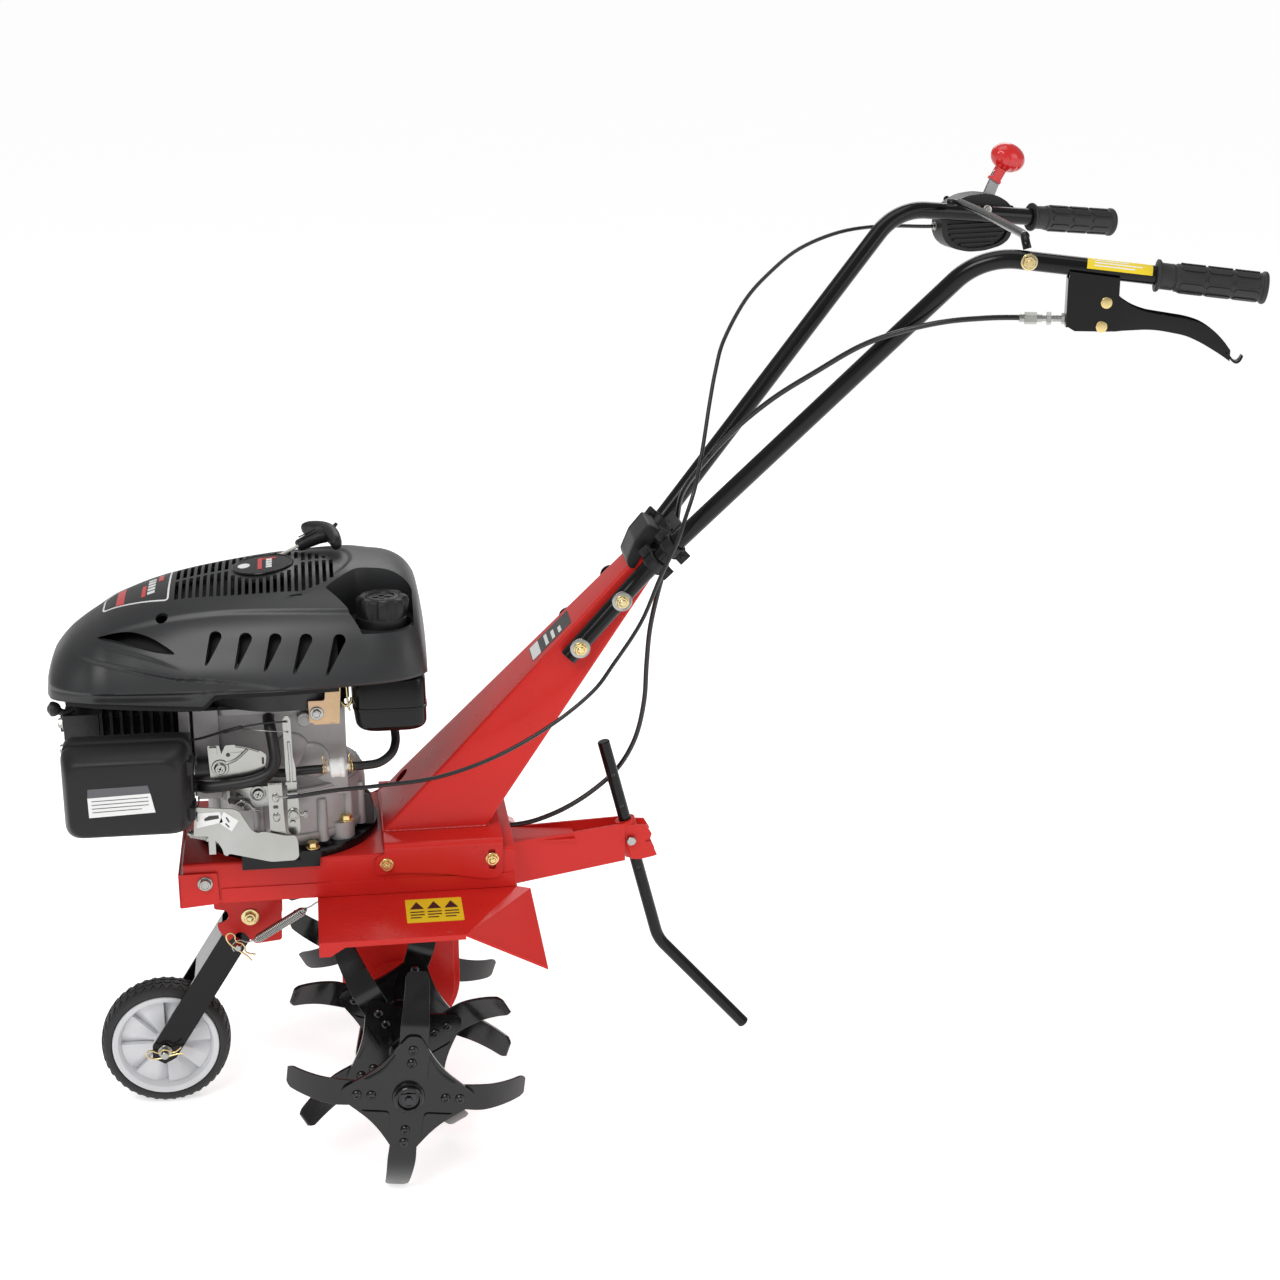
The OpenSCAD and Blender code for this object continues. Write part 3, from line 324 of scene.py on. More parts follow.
# ---------------------------------------------------------------- materials
def surface(name, colour, rough, metal=0.0, vary=0.08, cloud=40.0, rough_vary=0.06, grain=None, coat=0.0,
            tint=None, specular=0.5, lines=None, subsurface=0.0):
    """A procedural material: clouded colour and gloss, with fine grain or lines as bump.

    grain is (cells per metre, strength). tint is a second colour that drifts in with the clouds, and how much
    of it. lines is (waves per metre, strength, axis) for brushed or ribbed stock."""
    mat = bpy.data.materials.new(name)
    mat.use_nodes = True
    tree = mat.node_tree
    bsdf = next(n for n in tree.nodes if n.type == "BSDF_PRINCIPLED")
    link = tree.links.new

    def node(kind, **values):
        made = tree.nodes.new(kind)
        for key, value in values.items():
            if key in made.inputs:
                made.inputs[key].default_value = value
            else:
                setattr(made, key, value)
        return made

    def mix(factor, a, b):
        made = node("ShaderNodeMix", data_type="RGBA")
        for socket, value in ((made.inputs[0], factor), (made.inputs[6], a), (made.inputs[7], b)):
            if isinstance(value, bpy.types.NodeSocket):
                link(value, socket)
            else:
                socket.default_value = (*value, 1.0)
        return made.outputs[2]

    def ranged(value, a, b, low=0.0, high=1.0):
        made = node("ShaderNodeMapRange")
        link(value, made.inputs[0])
        for i, number in enumerate((a, b, low, high)):
            made.inputs[i + 1].default_value = number
        return made.outputs[0]

    place = node("ShaderNodeTexCoord").outputs["Object"]
    clouds = node("ShaderNodeTexNoise", Scale=cloud, Detail=5.0, Roughness=0.6)
    link(place, clouds.inputs["Vector"])
    drift = ranged(clouds.outputs["Fac"], 0.3, 0.7)
    base = mix(drift, tuple(c * (1 - vary) for c in colour), tuple(min(1, c * (1 + vary)) for c in colour))
    if tint:
        broad = node("ShaderNodeTexNoise", Scale=cloud * 0.45, Detail=3.0)
        link(place, broad.inputs["Vector"])
        base = mix(ranged(broad.outputs["Fac"], 0.42, 0.66, 0.0, tint[1]), base, tint[0])
    gloss = ranged(clouds.outputs["Fac"], 0.3, 0.7, max(0.03, rough - rough_vary), min(1, rough + rough_vary))
    link(base, bsdf.inputs["Base Color"])
    link(gloss, bsdf.inputs["Roughness"])
    bsdf.inputs["Metallic"].default_value = metal
    bsdf.inputs["Coat Weight"].default_value = coat
    bsdf.inputs["Coat Roughness"].default_value = 0.12
    bsdf.inputs["Specular IOR Level"].default_value = specular
    if subsurface:
        bsdf.inputs["Subsurface Weight"].default_value = subsurface
        bsdf.inputs["Subsurface Radius"].default_value = (0.004, 0.003, 0.003)
    height = None
    if grain:
        fine = node("ShaderNodeTexNoise", Scale=grain[0], Detail=3.0, Roughness=0.55)
        link(place, fine.inputs["Vector"])
        height = fine.outputs["Fac"], grain[1]
    if lines:
        wave = node("ShaderNodeTexWave", Scale=lines[0], Distortion=1.5, Detail=2.0, bands_direction=lines[2])
        link(place, wave.inputs["Vector"])
        height = wave.outputs["Fac"], lines[1]
    if height:
        bump = node("ShaderNodeBump", Strength=height[1], Distance=0.0006)
        link(height[0], bump.inputs["Height"])
        link(bump.outputs["Normal"], bsdf.inputs["Normal"])
    return mat


# Blender puts a number after a name that the frame's own materials already have
MATERIALS = {made.name.split(".")[0]: made for made in (
    surface("red_paint", (0.6, 0.021, 0.016), 0.3, vary=0.05, cloud=9, grain=(420, 0.04), coat=0.06,
            specular=0.22),
    surface("black_paint", (0.004, 0.004, 0.0045), 0.2, vary=0.2, cloud=14, rough_vary=0.04, coat=0.1,
            specular=0.22),
    surface("tine_paint", (0.0055, 0.0055, 0.006), 0.17, vary=0.35, cloud=60, grain=(380, 0.06), coat=0.2,
            specular=0.35),
    surface("cast_alloy", (0.37, 0.36, 0.36), 0.5, 0.55, vary=0.12, cloud=22, grain=(900, 0.35),
            tint=((0.26, 0.225, 0.22), 0.55)),
    surface("dark_alloy", (0.045, 0.045, 0.047), 0.5, 0.4, vary=0.2, grain=(700, 0.3)),
    surface("zinc_steel", (0.36, 0.36, 0.335), 0.24, 1.0, vary=0.04, cloud=30, rough_vary=0.04,
            grain=(650, 0.03), tint=((0.5, 0.51, 0.52), 0.3)),
    surface("gold_zinc", (0.78, 0.6, 0.27), 0.27, 1.0, vary=0.06, cloud=60, rough_vary=0.05,
            grain=(800, 0.03), tint=((0.6, 0.56, 0.36), 0.6)),
    surface("ground_steel", (0.5, 0.5, 0.5), 0.36, 1.0, vary=0.1, lines=(900, 0.08, "Z")),
    surface("chrome", (0.82, 0.83, 0.84), 0.16, 1.0, vary=0.03, lines=(700, 0.03, "X")),
    surface("cowl_plastic", (0.018, 0.0185, 0.02), 0.4, vary=0.07, cloud=7, rough_vary=0.04,
            grain=(2600, 0.1), specular=0.55),
    surface("black_plastic", (0.011, 0.011, 0.012), 0.42, vary=0.1, cloud=12, grain=(2000, 0.1),
            specular=0.3),
    surface("red_plastic", (0.62, 0.012, 0.014), 0.24, vary=0.05, cloud=30, coat=0.3),
    surface("rim_plastic", (0.7, 0.71, 0.73), 0.4, vary=0.04, cloud=20, grain=(1500, 0.06)),
    surface("white_plastic", (0.86, 0.86, 0.84), 0.32, vary=0.03, subsurface=0.25),
    surface("tyre_rubber", (0.02, 0.021, 0.021), 0.62, vary=0.25, cloud=30, grain=(1300, 0.25)),
    surface("grip_rubber", (0.013, 0.013, 0.0135), 0.56, vary=0.15, grain=(1800, 0.16)),
    surface("hose_rubber", (0.012, 0.012, 0.013), 0.46, vary=0.2, grain=(1500, 0.12)),
    surface("cable_sheath", (0.009, 0.009, 0.01), 0.3, vary=0.1, cloud=25, grain=(900, 0.05)),
    surface("rope_fibre", (0.7, 0.68, 0.62), 0.8, vary=0.15, lines=(450, 0.5, "DIAGONAL")),
)}
YELLOW_LABEL = surface("label_yellow", (0.83, 0.62, 0.02), 0.35, vary=0.04, cloud=30, coat=0.3)
WHITE_LABEL = surface("label_white", (0.8, 0.8, 0.79), 0.4, vary=0.03, cloud=30, coat=0.2)
GREY_LABEL = surface("label_grey", (0.1, 0.1, 0.11), 0.4)
PRINT = surface("label_print", (0.02, 0.02, 0.022), 0.4, vary=0.1, coat=0.2)
TAN = surface("tan_zinc", (0.6, 0.42, 0.24), 0.36, 0.55, vary=0.08, cloud=90, tint=((0.66, 0.42, 0.3), 0.6))
# A near-black material for a sheet inside the cowl: painted shade seen through its grille, eyes and slots.
DARK = surface("painted_shade_inside", (0.004, 0.004, 0.004), 0.7, vary=0.2)
WELD = surface("weld", (0.52, 0.02, 0.018), 0.4, vary=0.15, cloud=300, grain=(300, 0.5), coat=0.2)
DARK_STEEL = surface("dark_steel", (0.05, 0.05, 0.052), 0.25, 1.0, vary=0.2, grain=(900, 0.1))
LEVER_STEEL = surface("lever_steel", (0.26, 0.26, 0.27), 0.34, 1.0, vary=0.05, lines=(700, 0.03, "X"))


# ---------------------------------------------------------------- pieces
def smooth_object(shape, name, material):
    o = bpy.data.objects.new(name, shape.mesh(name))
    bpy.context.scene.collection.objects.link(o)
    o.data.materials.append(material)
    o.data.polygons.foreach_set("use_smooth", [True] * len(o.data.polygons))
    return o


def broken_edges(o, width, segments, angle):
    """Rounds the edges of an object that turn by more than an angle in degrees; width is in millimetres."""
    edge = o.modifiers.new("edge", "BEVEL")
    edge.width, edge.segments, edge.limit_method = width * MM, segments, "ANGLE"
    edge.angle_limit = math.radians(angle)
    edge.harden_normals = True


def build(shape, name, body, slot, replaces=(), bevel=0.0, segments=2, material=None, angle=32):
    """Makes a piece: rides it on its body, gives it its slot's material unless another is given, and hides
    the CAD nodes it stands for.
    """
    o = smooth_object(shape, name, material or MATERIALS[slot])
    if bevel:
        broken_edges(o, bevel, segments, angle)
    else:
        o.data.set_sharp_from_angle(angle=math.radians(angle))
    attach(o, body)
    if replaces:
        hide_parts(*replaces)


def loose_piece(shape, name, slot, replaces):
    """A piece that crosses a joint: it rides on neither body and stays where it is made."""
    o = smooth_object(shape, name, MATERIALS[slot])
    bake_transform(o)
    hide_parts(*replaces)


# ---------------------------------------------------------------- CAD nodes shown as they are
for name, node in frame["nodes"].items():
    node.data.materials.clear()
    node.data.materials.append(MATERIALS[SLOT_OF[name]])

EDGE_WIDTH = {"hitch": 0.7, "chain_case_left": 1.2, "chain_case_right": 1.2, "gearbox": 1.0,
              "tine_guards": 0.7, "engine_base": 0.8, "air_cleaner_base": 1.5, "clutch_bracket": 0.5,
              "wheel_fork": 0.8, "carburettor": 0.8}
for name, width in EDGE_WIDTH.items():
    frame["nodes"][name].modifiers.new("weld", "WELD").merge_threshold = 2e-5
    broken_edges(frame["nodes"][name], width, 2, 28)

# ---------------------------------------------------------------- tines
AXLE_Z = 143.64
STAR_Y = (304, 190, 84)
STAR_PHASE = (-7, 29, 71)
STAR_BEND = ((1, 1, 1, 1), (-1, 1, -1, 1), (1, -1, 1, -1))
PLATE_HALF, BLADE_T = 2, 4.0


def star_at(i):
    """Frame of a star on the left side: local X along an arm, local Z towards the left (-Y)."""
    x, z = polar(1, STAR_PHASE[i])
    return turned((0, -STAR_Y[i], AXLE_Z), (x, 0, z), NEAR)


def tine_blade():
    """One tine along local X: flat root under the star plate, then a smooth bend towards local -Z."""
    bend = ((34, -2), (60, -2), (82, -2.4), (96, -5.5), (110, -12.5), (124, -22.5), (135, -32.5), (143, -41))
    line = smooth([(x, 0, z) for x, z in bend], 3)
    rings = []
    for i, p in enumerate(line):
        ahead = line[min(i + 1, len(line) - 1)] - line[max(i - 1, 0)]
        normal = Vector((ahead.z, 0, -ahead.x)).normalized() * BLADE_T
        half = 15 + 2 * min(1, (p.x - 34) / 50) if p.x < 90 else 17 - 3 * (p.x - 90) / 53
        tip = max(0.0, (p.x - 137) / 6) ** 2
        back, front = 3.2 * tip - half, half - 6 * tip
        rings.append([p + Vector((0, back, 0)), p + Vector((0, front, 0)),
                      p + normal + Vector((0, front - 0.8, 0)), p + normal + Vector((0, back + 0.8, 0))])
    return Shape().loft(rings)


def tine_screw(bolts, arm, r):
    """A round head on the star plate, and a washer, nut and thread end under the blade."""
    head = [(5.6, 0), (5.8, 1.2), (4.6, 2.9), (2.9, 3.7), (2.4, 3.7), (2.1, 2.2)]
    bolts.lathe(head, arm @ moved(r, 0, PLATE_HALF), 20)
    under = arm @ moved(r, 0, -PLATE_HALF - BLADE_T) @ Matrix.Rotation(math.pi, 4, "X")
    bolts.lathe([(6.6, 0), (6.8, 0.5), (6.6, 1)], under, 20)
    bolts.prism(circle(5.8, 6), 1, 4.8, under)
    bolts.lathe([(3.9, 4.7), (3.9, 5.0), (3.2, 5.4)], under, 16)


blade = tine_blade()
flip = moved(0, 0, -2 * PLATE_HALF - BLADE_T) @ Matrix.Scale(-1, 4, UP)
blades, stars, bolts = Shape(), Shape(), Shape()
outline = []
for k in range(4):
    outline += [polar(79, 90 * k - 5), polar(79, 90 * k + 5), polar(52, 90 * k + 45)]
outline = rounded(outline, [5, 5, 22] * 4, 5)
petal = rounded([(20, 20), (55, 20), (38, 31), (31, 38), (20, 55)], [7, 3, 4, 4, 3], 4)
for i in range(3):
    star = star_at(i)
    stars.prism(outline, -PLATE_HALF, PLATE_HALF, star, holes=[circle(17.2, 28)])
    for k in range(4):
        arm = star @ spun(90 * k, "Z")
        stars.prism(petal, 1.2, 3.6, arm)
        stars.prism([(x * 0.9 + 2.4, y * 0.9 + 2.4) for x, y in petal], 3.2, 4.3, arm)
        blades.join(blade, arm if STAR_BEND[i][k] > 0 else arm @ flip)
        for r in (44, 61):
            tine_screw(bolts, arm, r)
hub = moved(0, 0, AXLE_Z) @ UPRIGHT
stars.lathe([(12.6, 31), (17, 31), (17, 315), (16, 316), (13.4, 316), (12.6, 315)], hub, 48, ring=True)
for y in STAR_Y:
    bead = [(17 + 2.4 * math.sin(math.pi * k / 6), y - 5.4 + 3.4 * k / 6) for k in range(7)]
    stars.lathe([(16.5, y - 5.6)] + bead + [(16.5, y - 1.6)], hub, 48, ring=True)
    stars.lathe([(16.5, y + 1.6), (19.4, y + 2.2), (18.6, y + 4.2), (16.5, y + 5.4)], hub, 48, ring=True)
shaft_end = [(0.5, 300), (12.8, 300), (12.8, 311.5), (12, 312.4), (9, 312.4), (8.6, 311.4), (0.5, 311.4)]
bolts.lathe(shaft_end, hub, 40)
bolts.prism(rounded(rectangle(-9, 9, -7.5, 7.5), 2.5), 311, 313.6, hub)
bolts.prism(circle(4.6, 6), 313, 316.4, hub)
bolts.rod((0, -50, AXLE_Z - 24), (0, -50, AXLE_Z + 24), 4)
for s in (1, -1):
    bolts.hex_head((0, -50, AXLE_Z + 17.2 * s), (0, 0, s), 12, 6, washer=8.5)
build(blades.mirrored(), "tines", "tine_rotor", "tine_paint", ["tine_blades"], bevel=0.7, angle=40)
build(stars.mirrored(), "tine_stars", "tine_rotor", "tine_paint", ["tine_hubs"], bevel=0.5, angle=35)
build(bolts.mirrored(), "tine_screws", "tine_rotor", "tine_paint", ["tine_bolts"], bevel=0.3,
      material=DARK_STEEL)

# ---------------------------------------------------------------- front wheel
WHEEL = Vector((-300, 0, 83))
PIVOT = Vector((-183, 0, 267))
LOCK = Vector((-199, 0, 238))
wheel = turned(WHEEL, (1, 0, 0), NEAR)


def add_vane(shape, side, start, step):
    """A sector of the disc, like a fan's blade: deep at its start and shallow at its end."""
    depths = ((0, 11.5), (0.15, 11.5), (0.3, 11.4), (0.45, 11.2), (0.6, 11), (0.8, 6.5), (0.998, 2.2))
    points = []
    for t, depth in depths:
        c, s = math.cos(start + step * t), math.sin(start + step * t)
        face = [(r * c, r * s, side * depth * share) for r, share in ((14, 0.96), (34, 1.0), (57.2, 0.94))]
        points += face + [(x, y, 0) for x, y, _ in face]
    faces = []
    for cut in range(0, len(points) - 6, 6):
        for b in (cut, cut + 1):
            faces += [[b, b + 1, b + 7, b + 6], [b + 3, b + 4, b + 10, b + 9]]
        faces += [[cut, cut + 6, cut + 9, cut + 3], [cut + 2, cut + 8, cut + 11, cut + 5]]
    for cap in (0, len(points) - 6):
        faces += [[b, b + 1, b + 4, b + 3] for b in (cap, cap + 1)]
    shape.add(points, faces, wheel)


VANES = 8
rim = Shape()
rim.lathe([(60.5, -18.6), (66.6, -20.8), (67.8, -19.6), (67.9, -17.9), (64, -13.6), (62, -5), (61.8, 0),
           (62, 5), (64, 13.6), (67.9, 17.9), (67.8, 19.6), (66.6, 20.8), (60.5, 18.6), (57.6, 12),
           (56.4, 5), (56.4, -5), (57.6, -12)], wheel, 96, ring=True)
for side in (1, -1):
    for k in range(VANES):
        add_vane(rim, side, TURN * k / VANES, TURN / VANES)
hub_half = [(5.1, -22), (12.4, -22), (13.6, -20.8), (15.5, -11)]
rim.lathe(hub_half + [(r, -h) for r, h in reversed(hub_half)], wheel, 48, ring=True)
build(rim, "wheel_disc", "front_wheel", "rim_plastic", ["wheel_rim"], bevel=0.6, angle=30)

BLOCKS = 44


def tread_block(points):
    """A block on the tread: points are (share of one pitch, offset from the tread's middle)."""
    rings = []
    for crown, fall, steep in ((79.4, 0.006, 0.00009), (82.3, 0.0068, 0)):
        ring = []
        for t, h in points:
            x, y = polar(crown - fall * h * h - steep * h ** 4, 360 * t / BLOCKS)
            ring.append((x, y, h))
        rings.append(ring)
    return Shape().loft(rings)


tyre = Shape()
body = [(62.1, 0), (63.6, 12.6), (67, 17.4), (68.2, 17.9), (69.2, 19.9), (71.5, 20.8), (75, 20.6),
        (78.4, 18.2), (80, 14.2), (80.6, 8), (80.8, 0)]
tyre.lathe(body + [(r, -h) for r, h in body[-2:0:-1]], wheel, 120, ring=True)
zigzag = [(0.08, -1.2), (0.36, -4.4), (0.62, -4.4), (0.9, -1.2), (0.9, 1.2), (0.62, 4.4), (0.36, 4.4),
          (0.08, 1.2)]
shoulder = [(0.1, 4.6), (0.3, 6.4), (0.68, 6.4), (0.88, 4.6), (1.02, 7.4), (0.8, 12.6), (0.66, 16.2),
            (0.32, 16.2), (0.18, 12.6), (-0.04, 7.4)]
middle_block, outer_block = tread_block(zigzag), tread_block(shoulder)
for k in range(BLOCKS):
    here, next_half = (wheel @ spun(360 * (k + share) / BLOCKS, "Z") for share in (0, 0.5))
    tyre.join(middle_block, here).join(outer_block, here)
    tyre.join(outer_block, next_half @ Matrix.Scale(-1, 4, UP))
build(tyre, "tyre_with_tread", "front_wheel", "tyre_rubber", ["tyre"], bevel=0.35, segments=1, angle=40)

pins = Shape()
for at, y0, y1, r, edge in ((WHEEL, -50, 44, 5, 0.8), (WHEEL, 35.2, 38, 9, 0.5), (WHEEL, -38, -35.2, 9, 0.5),
                            (LOCK, -72, 50, 4, 0.6)):
    pins.rod((at.x, y0, at.z), (at.x, y1, at.z), r, edge=edge)
build(pins, "fork_pins_turned", "wheel_arm", "zinc_steel", ["fork_pins"])

WIRE_R = 1.05
CLIP = [(24, 0, 5.5), (16, 0, 4.2), (8, 0, 1), (0, 0, -2.6), (-9, 0, -5.6), (-17, 0, -6), (-21.6, 0, -3.4),
        (-23, 0, 0.6), (-20.5, 0, 4.2), (-16, 0, 5.2), (-11.5, 0, 3.2), (-7, 0, 3.6), (-3, 0, 7.2),
        (3, 0, 7.8), (8, 0, 5.6), (12, 0, 6.4), (16, 0, 10.4), (19, 0, 14)]
clips = Shape()
for at, y, lean in ((WHEEL, -47.5, 10), (LOCK, -69.5, 62)):
    place = moved(at.x, y, at.z) @ spun(lean, "Y")
    clips.tube([place @ p for p in smooth(CLIP, 4)], WIRE_R, 10)
build(clips, "spring_clips", "wheel_arm", "gold_zinc", ["r_clips"])

SPRING_A, SPRING_B = (-178, -64, 244), (-112, -110, 304)
turns = coil(SPRING_A, SPRING_B, lambda t: 5.0 * min(1, 0.25 + 9 * min(t, 1 - t)), 34, 14)
hook_low = smooth([(-204, -66, 232), (-206, -66, 238), (-202.5, -66, 244.5), (-195, -65.5, 246.5),
                   (-187, -64.5, 243), turns[0]], 5)
hook_high = smooth([turns[-1], (-106, -114, 309), (-98, -117, 315.5), (-93, -116, 314), (-94, -111, 310)], 5)
loose_piece(Shape().tube(hook_low + turns[1:-1] + hook_high, WIRE_R, 8), "coil_spring", "zinc_steel",
            ["lock_spring"])

# ---------------------------------------------------------------- deck and its bracket
DECK_HALF, DECK_LOW, DECK_TOP, SHEET, LIP = 105, 317, 370, 3, 88
DECK_FRONT, DECK_REAR = -258, 148
inner_half, inner_low, inner_top = DECK_HALF - SHEET, DECK_LOW + SHEET, DECK_TOP - SHEET
section = [(-LIP, DECK_LOW), (-DECK_HALF, DECK_LOW), (-DECK_HALF, DECK_TOP), (DECK_HALF, DECK_TOP),
           (DECK_HALF, DECK_LOW), (LIP, DECK_LOW), (LIP, inner_low), (inner_half, inner_low),
           (inner_half, inner_top), (-inner_half, inner_top), (-inner_half, inner_low), (-LIP, inner_low)]
section = rounded(section, [0.5, 3, 4.5, 4.5, 3, 0.5, 0.5, 1, 1.5, 1.5, 1, 0.5], 6)
shaft_hole = Shape().prism(circle(34, 64), DECK_TOP - 8, DECK_TOP + 4, moved(-130, 0, 0))
deck = Shape().prism(section, DECK_FRONT, DECK_REAR, ALONG_X).minus(shaft_hole)
end_wall = rounded(rectangle(1 - inner_half, inner_half - 1, DECK_LOW + 1, inner_top - 1), 3)
for x in (DECK_FRONT + 2, DECK_REAR - 4):
    deck.prism(end_wall, x, x + SHEET, ALONG_X)
deck.box(-62, 72, -90, 90, DECK_LOW, inner_low)
for side in (Matrix.Identity(4), MIRROR):
    rail = Shape().plate(rounded(rectangle(-213, DECK_REAR, DECK_LOW, 336), 1.5), -DECK_HALF - 1.5,
                         -DECK_HALF + 0.5)
    deck.join(rail, side)
build(deck, "deck_sheet", "chassis", "red_paint", ["deck"], bevel=0.5, angle=40)

ear = [(-228, 317), (-142, 317), (-144.5, 233), (-178, 229.5), (-186, 238), (-192, 246.5), (-200, 246.5),
       (-205.5, 240), (-211, 234.5), (-222.5, 250), (-224.5, 260), (-216, 261.5), (-210.5, 265),
       (-209.5, 271), (-212, 277), (-219, 278.5), (-227, 280)]
ear = rounded(ear, [2, 2, 4, 3, 4, 5, 5, 3, 5, 4, 3, 3, 4, 4, 3, 2, 3], 4)
bracket = Shape().plate(ear, -42, -39, holes=[circle(5.1, 20, (PIVOT.x, PIVOT.z))])
corner_plate = rounded([(-264, 313.5), (-216, 317.5), (-217, 358), (-264, 358)], 2.5)
bracket.plate(corner_plate, -109, -106.8, holes=[circle(4.3, 20, (-232, 345))])
bracket = bracket.mirrored()
bracket.box(-228, -142, -42, 42, 314, 317)
bracket.prism(rounded(rectangle(-109, 109, 313.5, 358), 3), -264, -261.6, ALONG_X)
build(bracket, "front_bracket", "chassis", "red_paint", ["wheel_bracket"], bevel=0.6)

# ---------------------------------------------------------------- frame bolts
M8_SHANK, DECK_WALL_Y = 3.9, -109.2
gold, silver = Shape(), Shape()
for x, y, z, size, washer, inward in ((-11, DECK_WALL_Y, 357, 12, 8.4, 14),
                                      (119, DECK_WALL_Y, 357, 12, 8.4, 14),
                                      (PIVOT.x, -42.2, PIVOT.z, 13, 11.2, 42.2)):
    gold.hex_head((x, y, z), NEAR, size, 5.2, washer=washer, spin=0.3)
    gold.lathe([(size * 0.3, 0), (size * 0.3, 3.6), (size * 0.22, 4.2)], facing(x, y - 4, z), 20)
    gold.rod((x, y + 2, z), (x, y + inward, z), M8_SHANK)
silver.hex_head((-232, DECK_WALL_Y, 345), NEAR, 13, 5.2, washer=9.2, spin=0.2)
silver.rod((-232, -107, 345), (-232, -95, 345), M8_SHANK)
gold, silver = gold.mirrored(), silver.mirrored()
for k in range(4):
    x, y = polar(102, 45 + 90 * k, (-130, 0))
    gold.rod((x, y, 371), (x, y, 404), M8_SHANK)
    gold.hex_head((x, y, 404.2), UP, 13, 6, washer=9)
STAKE_TOP, STAKE_LEAN = Vector((272, 0, 464)), 14.27
stake_at = Matrix.Translation(STAKE_TOP) @ spun(180 - STAKE_LEAN, "Y")
pin_at = stake_at @ Vector((0, 0, 137))
silver.rod((pin_at.x, -8.6, pin_at.z), (pin_at.x, -16, pin_at.z), 3)
silver.rod((pin_at.x, -14.6, pin_at.z), (pin_at.x, -20, pin_at.z), 6, edge=0.8)
build(gold, "frame_bolts_gold", "chassis", "gold_zinc", ["frame_bolts"], bevel=0.25)
build(silver, "frame_bolts_silver", "chassis", "zinc_steel", bevel=0.25)

# Labels lie on the sheet as thin films: a ground colour, and blocks that stand for print
yellow = Shape().prism(rounded([(9, -196), (78, -196), (78, -129), (9, -129)], 2.5), 316.55, 316.95)
printed = Shape()
for k in range(3):
    x = 14 + 21 * k
    printed.prism(rounded([(x, -158), (x + 17, -158), (x + 8.5, -137)], 1.5), 316.7, 317.15)
    for j, short in enumerate((0, 0, 4)):
        printed.box(x, x + 17 - short, -168 - 8 * j, -165 - 8 * j, 316.7, 317.15)
build(yellow, "guard_label", "chassis", "red_paint", material=YELLOW_LABEL)
build(printed, "guard_label_print", "chassis", "red_paint", material=PRINT)

# ---------------------------------------------------------------- column
WELD_Z = 384.4
weld = Shape()
uneven = [((i * 7919) % 101) / 101 for i in range(400)]
for side in (1, -1):
    points = [Vector((-11 + 1.62 * i, side * 68.4, WELD_Z + 0.2)) for i in range(79)]
    weld.tube(points, [1.5 + 0.9 * uneven[(i * 3) % 400] for i in range(79)], 8)
for x, stride in ((-13, 5), (117.5, 11)):
    points = [Vector((x, -68 + 1.7 * i, WELD_Z)) for i in range(81)]
    weld.tube(points, [1.4 + 0.8 * uneven[(i * stride) % 400] for i in range(81)], 8)
build(weld, "weld_beads", "column", "red_paint", material=WELD, angle=60)

COLUMN = ((384, -14, 117, 68), (416, 16, 138, 66), (716, 312, 350, 29))
COLUMN_WALL, BASE_HALF, BASE_WALL = 2.5, 109, 2.4


def column_ring(z, x0, x1, half, wall=0.0, r=5.0):
    """One level of the column's four walls, with rounded folds, or of the space a wall inside them."""
    poly = rectangle(x0 + wall, x1 - wall, wall - half, half - wall)
    return [(*q, z) for q in rounded(poly, max(1.5, r - wall), 6)]


def base_fold(half, r, angles):
    """A quarter bend of the base sheet, in Y and Z, of radius r at half the sheet's width."""
    return [(r - half - r * math.cos(math.radians(a)), 376.9 + r * math.sin(math.radians(a))) for a in angles]


def other_side(points):
    return [(-y, z) for y, z in points[::-1]]


shell = Shape().loft([column_ring(*level) for level in COLUMN])
hollow = [(381, -17, 115, 68.2)] + list(COLUMN[1:]) + [(722, 318, 354.2, 28.3)]
shell = shell.minus(Shape().loft([column_ring(*level, wall=COLUMN_WALL) for level in hollow]))
front_hole = turned((15, 40, 415), (0, 1, 0), (-1, 0, 1))
shell = shell.minus(Shape().lathe([(0.01, -20), (11, -20), (11, 20), (0.01, 20)], front_hole, 32))
outside = base_fold(BASE_HALF, 7, range(0, 91, 10))
inside = base_fold(BASE_HALF - BASE_WALL, 4.6, range(90, -1, -10))
section = [(-BASE_HALF, 374)] + outside + other_side(outside)
section += [(BASE_HALF, 374), (BASE_HALF - BASE_WALL, 374)]
section += other_side(inside) + inside + [(BASE_WALL - BASE_HALF, 374)]
base = Shape().prism(section, -13, 133, ALONG_X)
shell.join(base.minus(Shape().prism(rectangle(-10, 114, -60, 60), 375, 392)))
flange = [(-13, 374.2), (-13, 371), (-25, 366), (-25, 343), (6, 345.5), (60, 340.5), (108, 331), (131, 331),
          (133, 374.2)]
flange = rounded(flange, [0.5, 3, 10, 13, 20, 30, 12, 13, 0.5], 6)
slot = rounded([(114.6, 343), (123.4, 343), (123.4, 370), (114.6, 370)], 4.3, 6)
side_plate = Shape().plate(flange, -BASE_HALF, BASE_WALL - BASE_HALF, holes=[circle(5, 24, (-11, 357)), slot])
shell.join(side_plate.mirrored())
build(shell, "column_sheet", "column", "red_paint", ["steering_column"], bevel=0.4, angle=40)

(_, FOLD_X, _, _), (_, TOP_X, _, _) = COLUMN[1:]
FRONT_RUN, FRONT_RISE = TOP_X - FOLD_X, COLUMN[2][0] - COLUMN[1][0]
front_wall = turned((FOLD_X, 0, COLUMN[1][0]), (FRONT_RUN, 0, FRONT_RISE), (-FRONT_RISE, 0, FRONT_RUN))


def on_front(x0, x1, y0, y1):
    """A rectangle on the front wall: x0 and x1 are design X, which become distances along the slope."""
    a, b = ((x - FOLD_X) * math.hypot(FRONT_RUN, FRONT_RISE) / FRONT_RUN for x in (x0, x1))
    return rectangle(a, b, y0, y1)


